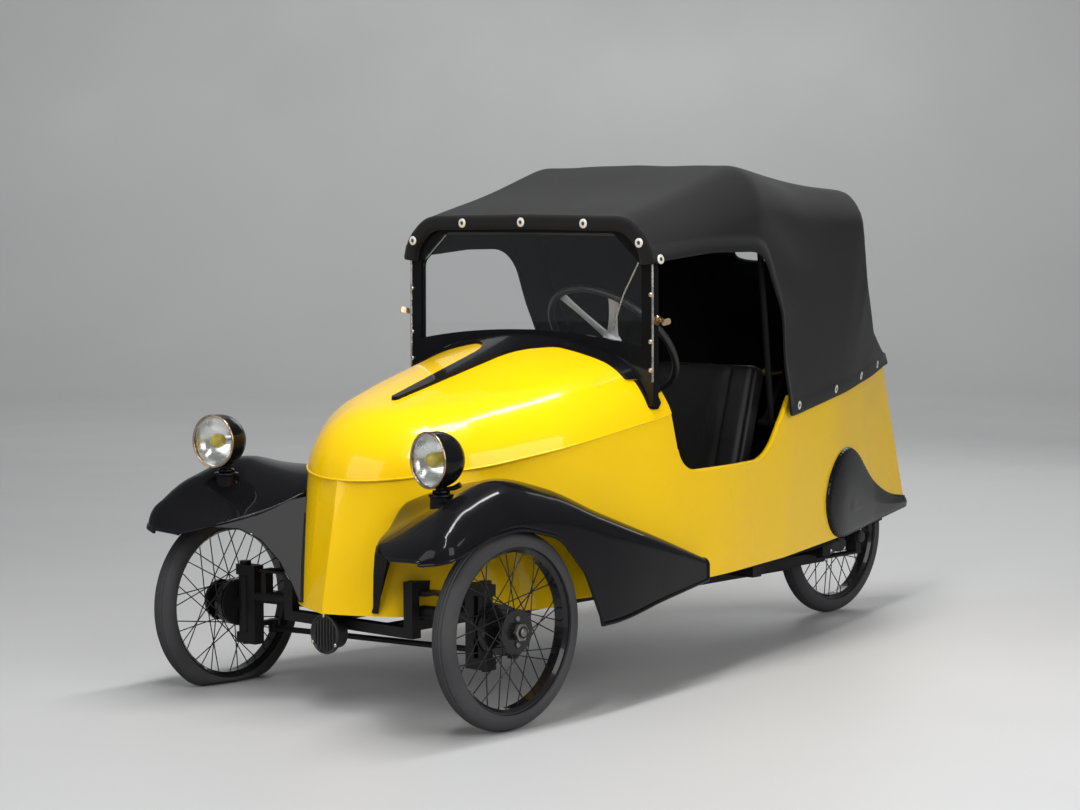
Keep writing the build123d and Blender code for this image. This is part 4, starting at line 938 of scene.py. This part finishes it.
window_roll = tube(place(window_loop), WINDOW_ROLL, 10, closed=True)
padded_strip = header_strip(BAND_WIDTH, TOP_FRONT_X + 1, BAND_BACK_X, BAND_BULGE)
board_strip = header_strip(BOARD_WIDTH, BAND_BACK_X - 0.5, BOARD_BACK_X, 0.0)
edge_piping = joined([tube(place(top[:, k]), PIPING_RADIUS, 8) for k in (0, -1)])
band = piece("hem_band", padded_strip, binding, "body", angle=55)
piece("header_board", board_strip, black_satin, "body", angle=55)
edge = piece("top_piping", edge_piping, binding, "body")
felled = piece("top_seams", both_sides(corner_seam()), binding, "body")
frame_of_window = piece("window_binding", window_roll, binding, "body")
washers = piece("stud_washers", joined([s[0] for s in studs]), ivory, "body")
cores = piece("stud_cores", joined([s[1] for s in studs]), steel, "body")
print("top trimmed with", len(studs), "studs")


# %% [markdown]
# Tyres have a ribbed crown. The right front tyre has lost its air: where it meets the floor, its section is
# squeezed towards the rim and bulges sideways, as the floor allows only the hub's height below the wheel.

# %% Tyres and hubs
TYRE_R, SECTION_R, RIM_SEAT = 225.0, 27.5, 187.0
RIBS = np.array([-10.5, -3.5, 3.5, 10.5])
RIB_DEPTH, RIB_WIDTH = 3.4, 1.9
TREAD_ANGLE, BEAD_ANGLE = 36.0, 112.0
WALL_RING, WALL_RING_AT, WALL_RING_WIDTH = 0.8, 78.0, 3.0
FLOOR_GAP, FLAT_BULGE, TYRE_STEPS = 0.4, 0.39, 150
FLANGE = [(22, 44), (22, 50), (27, 50), (29, 47), (29, 22)]
FLANGE_RIM, NOTCHES, NOTCH_DEPTH, NOTCH_FROM = 0.046, 18, 0.05, 0.55
HUB_NUT = [(38, 19), (38, 21), (47, 21), (48, 18)]
HUB_CAP = [(47, 13), (50, 12.5), (53, 8), (54, 2)]
HUB_BOLT, HUB_BOLTS_Z = [(28, 6.5), (35, 6.5), (36, 4)], (-29, 29)


def tyre(hub, floor_below):
    """Torus section with grooves, turned about the hub; below the hub it keeps off the floor."""
    wall = np.linspace(TREAD_ANGLE, BEAD_ANGLE, 16)[1:]
    tread = np.linspace(-TREAD_ANGLE, TREAD_ANGLE, 79)
    fine = np.radians(np.concatenate([-wall[::-1], tread, wall]))
    along = SECTION_R * np.sin(fine)
    radius = TYRE_R - SECTION_R + SECTION_R * np.cos(fine)
    radius = radius - RIB_DEPTH * np.exp(-((along[:, None] - RIBS) / RIB_WIDTH) ** 2).sum(1)
    radius = radius + WALL_RING * np.exp(-((np.abs(np.degrees(fine)) - WALL_RING_AT) / WALL_RING_WIDTH) ** 2)
    angle = np.linspace(-np.pi, np.pi, TYRE_STEPS, endpoint=False)
    down = np.cos(angle)
    reach = np.where(down > 0.2, (floor_below - FLOOR_GAP) / np.maximum(down, 0.2), 1e9)
    squeeze = (np.minimum(reach, TYRE_R) - RIM_SEAT) / (TYRE_R - RIM_SEAT)
    squeeze = np.convolve(np.tile(squeeze, 3), np.ones(5) / 5, "same")[TYRE_STEPS:2 * TYRE_STEPS]
    out = RIM_SEAT + (radius[None] - RIM_SEAT) * np.minimum(squeeze, 1)[:, None]
    out = np.minimum(out, reach[:, None])
    wide = along[None] * (1 + FLAT_BULGE * (1 - squeeze))[:, None]
    points = np.stack([out * np.sin(angle)[:, None], wide, -out * down[:, None]], -1) + np.array(hub)
    return place(points).reshape(-1, 3), grid_faces(*points.shape[:2], close_rows=True, close_columns=True)


def hub_trim(hub, out):
    """Notched flange, and nut, cap and bolts, on one end of a hub; out is the side it faces."""
    facing = np.array([0.0, out, 0.0])
    disc, faces = turned(FLANGE, hub, facing, 144)
    centre = place(hub)
    arm = disc - centre
    angle = np.arctan2(arm[:, 2], arm[:, 0])
    reach = np.hypot(arm[:, 0], arm[:, 2])
    notch = np.where(reach > FLANGE_RIM, 1 - NOTCH_DEPTH * (np.sin(NOTCHES * angle) > NOTCH_FROM), 1)
    disc = centre + arm * np.stack([notch, np.ones_like(notch), notch], 1)
    bolts = [turned(HUB_BOLT, np.array(hub) + [0, 0, rise], facing, 6) for rise in HUB_BOLTS_Z]
    nuts = joined([turned(HUB_NUT, hub, facing, 6), turned(HUB_CAP, hub, facing, 24)] + bolts)
    return (disc, faces), nuts


# Columns: name, body, hub centre, sides that carry a flange
WHEELS = [
    ("left", "front_wheel_left", (0.0, 464.5, 225.0), (1,)),
    ("right", "front_wheel_right", (0.0, -464.5, 199.0), (-1,)),
    ("rear", "rear_wheel", (-1863.0, 0.0, 225.0), ()),
]
for name, body, hub, sides in WHEELS:
    piece(f"ribbed_tyre_{name}", tyre(hub, hub[2]), rubber, body, [f"tyre_{name}"], angle=60)
    for out in sides:
        flange, nuts = hub_trim(hub, out)
        piece(f"hub_flange_{name}", flange, wheel_black, body)
        piece(f"hub_nut_{name}", nuts, dull_steel, body)
print("tyres made for", len(WHEELS), "wheels")


# %% [markdown]
# Lamps, horn and steering wheel. Each lamp gets a thin warm rim and an amber bulb before its silver bowl, and
# the horn a slotted face with three screws. The steering wheel has a dark rim on three flat alloy spokes.

# %% Lamps, horn and steering wheel
LAMP_AT, LAMP_TOE = np.array([135.0, 357.0, 605.0]), math.radians(8)
LAMP_AXIS = np.array([math.cos(LAMP_TOE), -math.sin(LAMP_TOE), 0.0])
# Rings of the lamp: distance along their axis, radius and thickness
LAMP_RIM, LAMP_COLLAR, LAMP_FOOT = (0.8, 61.0, 2.8), (0.0, 15.0, 5.0), (0.0, 25.0, 4.5)
COLLAR_AT, FOOT_AT = LAMP_AT + [-40, 0, -72], LAMP_AT + [-40, 0, -80]
LAMP_BULB = [(-46, 6), (-30, 8), (-24, 15), (-16, 17), (-9, 14), (-5, 8), (-4, 1)]
LAMP_LEVER = [LAMP_AT + [-40, 8, -66], LAMP_AT + [-46, 34, -62], LAMP_AT + [-52, 48, -54]]
HORN_AT = np.array([0.0, -30.0, 173.0])
HORN_SHELL = [(44, 30), (46, 36), (70, 36), (75, 41), (78, 46.5), (84, 47.5), (88, 46), (89, 42), (86, 40),
              (86, 1)]
HORN_SCREW = [(87, 4.2), (90, 4.2), (91, 2.5)]
HORN_FACE_R, HORN_SCREWS_R = 38.0, 43.5
WHEEL_HUB, WHEEL_LEAN, WHEEL_R = np.array([-750.0, 135.0, 827.0]), math.radians(42), 176.0
WHEEL_BOSS = [(-18, 20), (-16, 24), (2, 24), (7, 21), (9, 12), (10, 1)]
GRIP_RADIUS = 9.0
SPOKE_FROM, SPOKE_SHORT, SPOKE_DISH = 16.0, 18.0, 3.0
SPOKE_WAIST, SPOKE_FLARE, SPOKE_HALF_THICK = 12.0, 5.0, 3.4
SPOKE_ROWS, SPOKE_SIDES = 24, 20


def circle_profile(along, radius, thick, count=12):
    """A small circle in the plane of (along, radius), in millimetres."""
    turn = np.linspace(0, 2 * np.pi, count, endpoint=False)
    return np.stack([along + thick * np.cos(turn), radius + thick * np.sin(turn)], 1)


def horn_bar(y):
    """Upright bar across the horn's round face, bowed outwards in the middle."""
    reach = math.sqrt(HORN_FACE_R ** 2 - y * y)
    line = [HORN_AT + [87, y, -reach], HORN_AT + [88.5, y, 0], HORN_AT + [87, y, reach]]
    return tube(place(line), 0.0026, 8)


def horn_screw(angle):
    """One of the screws round the horn's face."""
    at = HORN_AT + [0, HORN_SCREWS_R * math.cos(angle), HORN_SCREWS_R * math.sin(angle)]
    return turned(HORN_SCREW, at, (1, 0, 0), 12)


rim = ring_band(circle_profile(*LAMP_RIM), LAMP_AT, LAMP_AXIS, 72)
bulb = turned(LAMP_BULB, LAMP_AT, LAMP_AXIS, 32)
collar = ring_band(circle_profile(*LAMP_COLLAR), COLLAR_AT, (0, 0, 1), 32)
lever = tube(place(resampled(LAMP_LEVER, 12)), np.linspace(0.0045, 0.0065, 12), 10)
foot_ring = ring_band(circle_profile(*LAMP_FOOT), FOOT_AT, (0, 0, 1), 40)
piece("lamp_rims", both_sides(rim), brass, "body")
piece("lamp_bulbs", both_sides(bulb), amber, "body")
piece("lamp_fittings", both_sides(joined([collar, lever, foot_ring])), black, "body")

shell = turned(HORN_SHELL, HORN_AT, (1, 0, 0), 64)
bars = [horn_bar(y) for y in np.arange(-30.0, 31.0, 10.0)]
screws = [horn_screw(angle) for angle in np.radians([90, 210, 330])]
piece("horn_shell", joined([shell] + bars), black_satin, "body", ["horn"])
piece("horn_screws", joined(screws), nickel, "body")

wheel_up = np.array([math.sin(WHEEL_LEAN), 0.0, math.cos(WHEEL_LEAN)])
wheel_side = np.array([0.0, -1.0, 0.0])
wheel_axis = np.array([-math.cos(WHEEL_LEAN), 0.0, math.sin(WHEEL_LEAN)])


def wheel_spoke(angle):
    """Flat bar from the hub to the rim, waisted in the middle; its section is a flat ellipse."""
    out = wheel_side * math.cos(angle) + wheel_up * math.sin(angle)
    across = np.cross(wheel_axis, out)
    t = np.linspace(0, 1, SPOKE_ROWS)
    wide = SPOKE_WAIST + SPOKE_FLARE * (2 * t - 1) ** 2
    turn = np.linspace(0, 2 * np.pi, SPOKE_SIDES, endpoint=False)
    reach = SPOKE_FROM + t * (WHEEL_R - SPOKE_SHORT)
    middle = WHEEL_HUB + out * reach[:, None] + wheel_axis * (SPOKE_DISH * t)[:, None]
    ring = across * np.cos(turn)[:, None, None] * wide[None, :, None]
    ring = ring + wheel_axis * SPOKE_HALF_THICK * np.sin(turn)[:, None, None]
    points = (middle[None] + ring).transpose(1, 0, 2)
    return place(points).reshape(-1, 3), capped_faces(SPOKE_ROWS, SPOKE_SIDES)


spokes = [wheel_spoke(math.radians(a)) for a in (60, 120, 270)]
boss = turned(WHEEL_BOSS, WHEEL_HUB, wheel_axis, 40)
grip = ring_band(circle_profile(0.0, WHEEL_R, GRIP_RADIUS, 20), WHEEL_HUB, wheel_axis, 120)
piece("steering_grip", grip, black_satin, "steering_wheel", ["steering_wheel"])
piece("steering_spokes", joined(spokes + [boss]), alloy, "steering_wheel")
print("lamps, horn and steering wheel made")


# %% [markdown]
# The bench is black leather over horsehair, stitched into upright channels. Each cushion is a superellipse
# carried along its length, with grooves where the stitching pulls the cover in.

# %% Seats
CHANNEL, GROOVE, GROOVE_WIDTH, CROWN = 66.0, 8.0, 7.0, 7.0
END_TUCK, END_POWER, END_ROUND, END_LEFT = 26.0, 14, 0.3, 0.03
PAD_POWER, PAD_ROWS, PAD_SIDES = 7, 70, 200
SEAT_FRONT, SEAT_REAR, SEAT_HALF, SEAT_THICK = (-772, 318), (-1148, 318), (326, 270), 130.0
BACK_FOOT, BACK_HEAD, BACK_LEAN = (-1116, 396), (-1211, 744), (-97.0, 352.0)
BACK_HALF, BACK_THICK = (248, 248), 50.0


def squircle(turn, power):
    """Point of a superellipse of unit size."""
    c, s = np.cos(turn), np.sin(turn)
    return np.sign(c) * np.abs(c) ** (2 / power), np.sign(s) * np.abs(s) ** (2 / power)


def cushion(line, half_width, thick, up):
    """Pad along a line of (x, z): half_width across the car, thick along the direction up, grooves on top."""
    t = np.linspace(0, 1, PAD_ROWS)
    ends = (1 - np.abs(2 * t - 1) ** END_POWER) ** END_ROUND * (1 - END_LEFT) + END_LEFT
    turn = np.linspace(0, 2 * np.pi, PAD_SIDES, endpoint=False)
    c, s = squircle(turn, PAD_POWER)
    wide = np.interp(t, [0, 1], half_width)
    y = (wide - END_TUCK * (1 - ends))[:, None] * c[None]
    middle = np.stack([np.interp(t, [0, 1], [line[0][k], line[1][k]]) for k in (0, 1)], 1)
    phase = (y / CHANNEL + 0.5) % 1.0 - 0.5
    seam = np.exp(-((np.abs(phase) - 0.5) * CHANNEL / GROOVE_WIDTH) ** 2)
    rise = thick / 2 * s[None] * ends[:, None]
    top_side = np.clip(s, 0, 1)[None] ** 0.5 * ends[:, None]
    rise = rise + top_side * (CROWN * (1 - (y / wide[:, None]) ** 2) - GROOVE * seam)
    points = np.stack([middle[:, :1] + rise * up[0], y, middle[:, 1:] + rise * up[1]], -1)
    return place(points).reshape(-1, 3), capped_faces(PAD_ROWS, PAD_SIDES)


lean = unit(np.array(BACK_LEAN))
seat_pad = cushion([SEAT_FRONT, SEAT_REAR], SEAT_HALF, SEAT_THICK, (0, 1))
back_pad = cushion([BACK_FOOT, BACK_HEAD], BACK_HALF, BACK_THICK, (lean[1], -lean[0]))
bench = piece("bench_cushion", seat_pad, leather, "body", ["seat_cushion"], angle=60)
rest = piece("bench_back", back_pad, leather, "body", ["seat_back"], angle=60)
print("bench made")


# %% [markdown]
# Beads and trim. A raised lip runs along the bonnet's lower edge, a smooth sheet covers the nose, and piping
# its joint with the valances, whose free edges are folded into flanges. The tail spats are shallow pods.
# Nickel strips cover the edges of the windscreen posts, and a thin stay stands behind the glass.

# %% Beads and trim
SPAT_LINE = rounded_line(
    [(-1470, 372), (-1552, 250), (-2320, 277), (-2320, 296), (-2060, 326), (-1880, 392), (-1760, 486),
     (-1660, 512), (-1560, 478)], [70, 14, 0, 0, 200, 150, 90, 80, 80], 14, closed=True)
SPAT_MIDDLE = np.array([-1700.0, 330.0])
SPAT_END_X, SPAT_THICK, SPAT_BULGE, SPAT_EDGE = -2236.0, 8.0, 9.0, 18.0
SPAT_SWELL, SPAT_REACH, SPAT_BLUR = 60.0, 36, 12.0
SPAT_RINGS, SPAT_POINTS = 26, 400
LIP_CENTRE_X, LIP_END_X, LIP_RADIUS = -420.0, -640.0, 0.0026
FLANGE_ROWS, FLANGE_WIDE, FLANGE_NARROW, FLANGE_THICK = 50, 44.0, 13.0, 2.5
FLANGE_BOLT, BOLT_ROW, BOLT_INSET, BOLT_FACING = [(-1, 6), (3, 6), (5, 4)], 16, 20, (0.55, 0.65, -0.5)
NOSE_ROWS, NOSE_HEIGHT, NOSE_REACH, NOSE_BLUR = 40, 300.0, 30, 13.0
NOSE_FINE, NOSE_KEPT = 1200, 320
PIPING_TOP, PIPING_FOOT, NOSE_PIPING_RADIUS = (156, 440), (118, 236), 0.0055
POST_LINE, POST_RADIUS = [(-579, 403, 742), (-579, 403, 900), (-579, 402, 1021)], 0.0028
POST_CLIP, POST_CLIP_XY = [(-2, 4.5), (-2, 5.5), (3, 5.5), (4, 3)], (-579, 398)
POST_CLIPS_Z = (770, 838, 950)
STAY, STAY_RADIUS = [(-606, 352, 1046), (-620, 277, 942), (-618, 248, 860)], 0.0022


def bonnet_lip():
    """Lower edge of the bonnet, read from its own mesh: points on the seam's plane, outermost by angle."""
    at = node_points("bonnet")
    at = at[np.abs(at[:, 2] - seam_z(at[:, 0])) < 0.5]
    arm = at - np.array([LIP_CENTRE_X, 0, 0])
    angle = np.arctan2(arm[:, 1], arm[:, 0])
    reach = np.hypot(arm[:, 0], arm[:, 1])
    order = np.argsort(angle)
    angle, reach, at = angle[order], reach[order], at[order]
    near = np.abs(angle[:, None] - angle[None]) < 0.05
    outer = reach > np.where(near, reach[None], 0).max(1) - 7.0
    line = at[outer & (at[:, 0] > LIP_END_X)]
    return tube(place(resampled(line, 300)), LIP_RADIUS, 8)


VALANCE_EDGE = np.array([(204.0, 272.0, 414.0), (168.0, 226.0, 410.0), (136.0, 188.0, 384.0),
                         (109.0, 156.0, 335.0), (90.0, 135.0, 282.0), (78.0, 122.0, 238.0)])
VALANCE_BACK = unit(np.array([-132.0, 207.0, 0.0]))


def valance_flange():
    """Flange folded back from the valance's free edge: wide under the fender, narrow at the nose."""
    edge = resampled(VALANCE_EDGE, FLANGE_ROWS)
    wide = np.linspace(FLANGE_WIDE, FLANGE_NARROW, FLANGE_ROWS)
    steps = np.linspace(0, 1, 4)
    sheet = edge[:, None] + VALANCE_BACK * (wide[:, None] * steps)[..., None]
    under = sheet - np.array([0.0, 0.0, FLANGE_THICK])
    points = np.concatenate([sheet, under[:, ::-1]], 1)
    bolt = turned(FLANGE_BOLT, edge[BOLT_ROW] + VALANCE_BACK * BOLT_INSET, BOLT_FACING, 6)
    return (place(points).reshape(-1, 3), capped_faces(FLANGE_ROWS, points.shape[1])), bolt


def nose_piping():
    """Piping on the nose where the valance meets it, from under the fender down to the lower edge."""
    y, z = np.linspace(PIPING_TOP, PIPING_FOOT, 40).T
    x = np.array([np.interp(b, hull_line(a)[:60, 1], hull_line(a)[:60, 0]) for a, b in zip(z, y)])
    return tube(place(np.stack([x + 1, y + 1, z], 1)), NOSE_PIPING_RADIUS, 10)


def spat_pod():
    """Left tail spat as a shallow pod: rings out to a blurred outline, raised by the distance from it."""
    line = resampled(np.concatenate([SPAT_LINE, SPAT_LINE[:1]]), SPAT_POINTS + 1)[:-1]
    round_again = np.concatenate([line[-SPAT_REACH:], line, line[:SPAT_REACH]])
    blur = bell(SPAT_REACH, SPAT_BLUR)
    soft = np.stack([np.convolve(round_again[:, k], blur, "valid") for k in (0, 1)], 1)
    soft[:, 0] = np.maximum(soft[:, 0], SPAT_END_X)
    ring = np.linspace(0, 1, SPAT_RINGS) ** 0.6
    at = SPAT_MIDDLE + (soft - SPAT_MIDDLE)[None] * ring[1:, None, None]
    depth = np.linalg.norm(at[:, :, None] - soft[None, None, ::4], axis=-1).min(-1)
    depth[-1] = 0
    lift = SPAT_THICK * np.sqrt(1 - (1 - np.minimum(depth / SPAT_EDGE, 1)) ** 2)
    lift = lift + SPAT_BULGE * (1 - np.exp(-depth / SPAT_SWELL))
    outer = np.maximum(hull_y(at[..., 0], at[..., 1]), 2.0) + 1.0 + lift
    points = np.stack([at[..., 0], outer, at[..., 1]], -1).reshape(-1, 3)
    top_y = float(hull_y(*SPAT_MIDDLE)) + 1.0 + SPAT_THICK + SPAT_BULGE
    back = np.stack([soft[:, 0], np.maximum(hull_y(soft[:, 0], soft[:, 1]), 2.0) - 1.0, soft[:, 1]], -1)
    points = np.concatenate([points, back, [[SPAT_MIDDLE[0], top_y, SPAT_MIDDLE[1]]]])
    faces = grid_faces(SPAT_RINGS, SPAT_POINTS, close_columns=True)
    faces += [[len(points) - 1, k, (k + 1) % SPAT_POINTS] for k in range(SPAT_POINTS)]
    return place(points), faces


def nose_skin():
    """Pressed sheet of the nose, just outside the solid: the outline blurred along itself, crease kept."""
    at = node_points("lower_body")
    low = at[at[:, 0] > 20, 2].min()
    blur = bell(NOSE_REACH, NOSE_BLUR)
    rows = []
    for t in np.linspace(0, 1, NOSE_ROWS):
        first = resampled(hull_line(low + t * NOSE_HEIGHT), NOSE_FINE)[:NOSE_KEPT]
        mirror_end = np.concatenate([2 * first[:1] - first[NOSE_REACH:0:-1], first])
        soft = np.stack([np.convolve(mirror_end[:, k], blur, "valid") for k in (0, 1)], 1)[::3]
        z = low + t * (seam_z(soft[:, 0]) - 1.5 - low)
        rows.append(np.column_stack([soft[:, 0] + 1.0, np.maximum(soft[:, 1] + 0.6, 0), z]))
    rows = np.array(rows)
    rows[:, 0, 1] = 0
    return place(rows).reshape(-1, 3), grid_faces(*rows.shape[:2])


def post_strip():
    """Nickel strip up the front corner of the left windscreen post, with three small clips."""
    strip = tube(place(POST_LINE), POST_RADIUS, 8)
    clips = [turned(POST_CLIP, (*POST_CLIP_XY, z), (1, 0, 0), 12) for z in POST_CLIPS_Z]
    return joined([strip] + clips)


flange, flange_bolt = valance_flange()
stay = tube(place(rounded_line(STAY, [0, 160, 0], 20)), STAY_RADIUS, 8)
piece("bonnet_lip", bonnet_lip(), yellow, "body")
piece("nose_piping", both_sides(nose_piping()), black, "body")
piece("valance_flanges", both_sides(flange), black, "body")
piece("flange_bolts", both_sides(flange_bolt), nickel, "body")
piece("spat_pods", both_sides(spat_pod()), black, "body", ["tail_spats"], closed=False,
      angle=80)
piece("nose_skin", both_sides(nose_skin()), yellow, "body", closed=False, angle=25)
piece("post_strips", both_sides(post_strip()), nickel, "body")
piece("screen_stay", stay, nickel, "body")
print("beads and trim made")
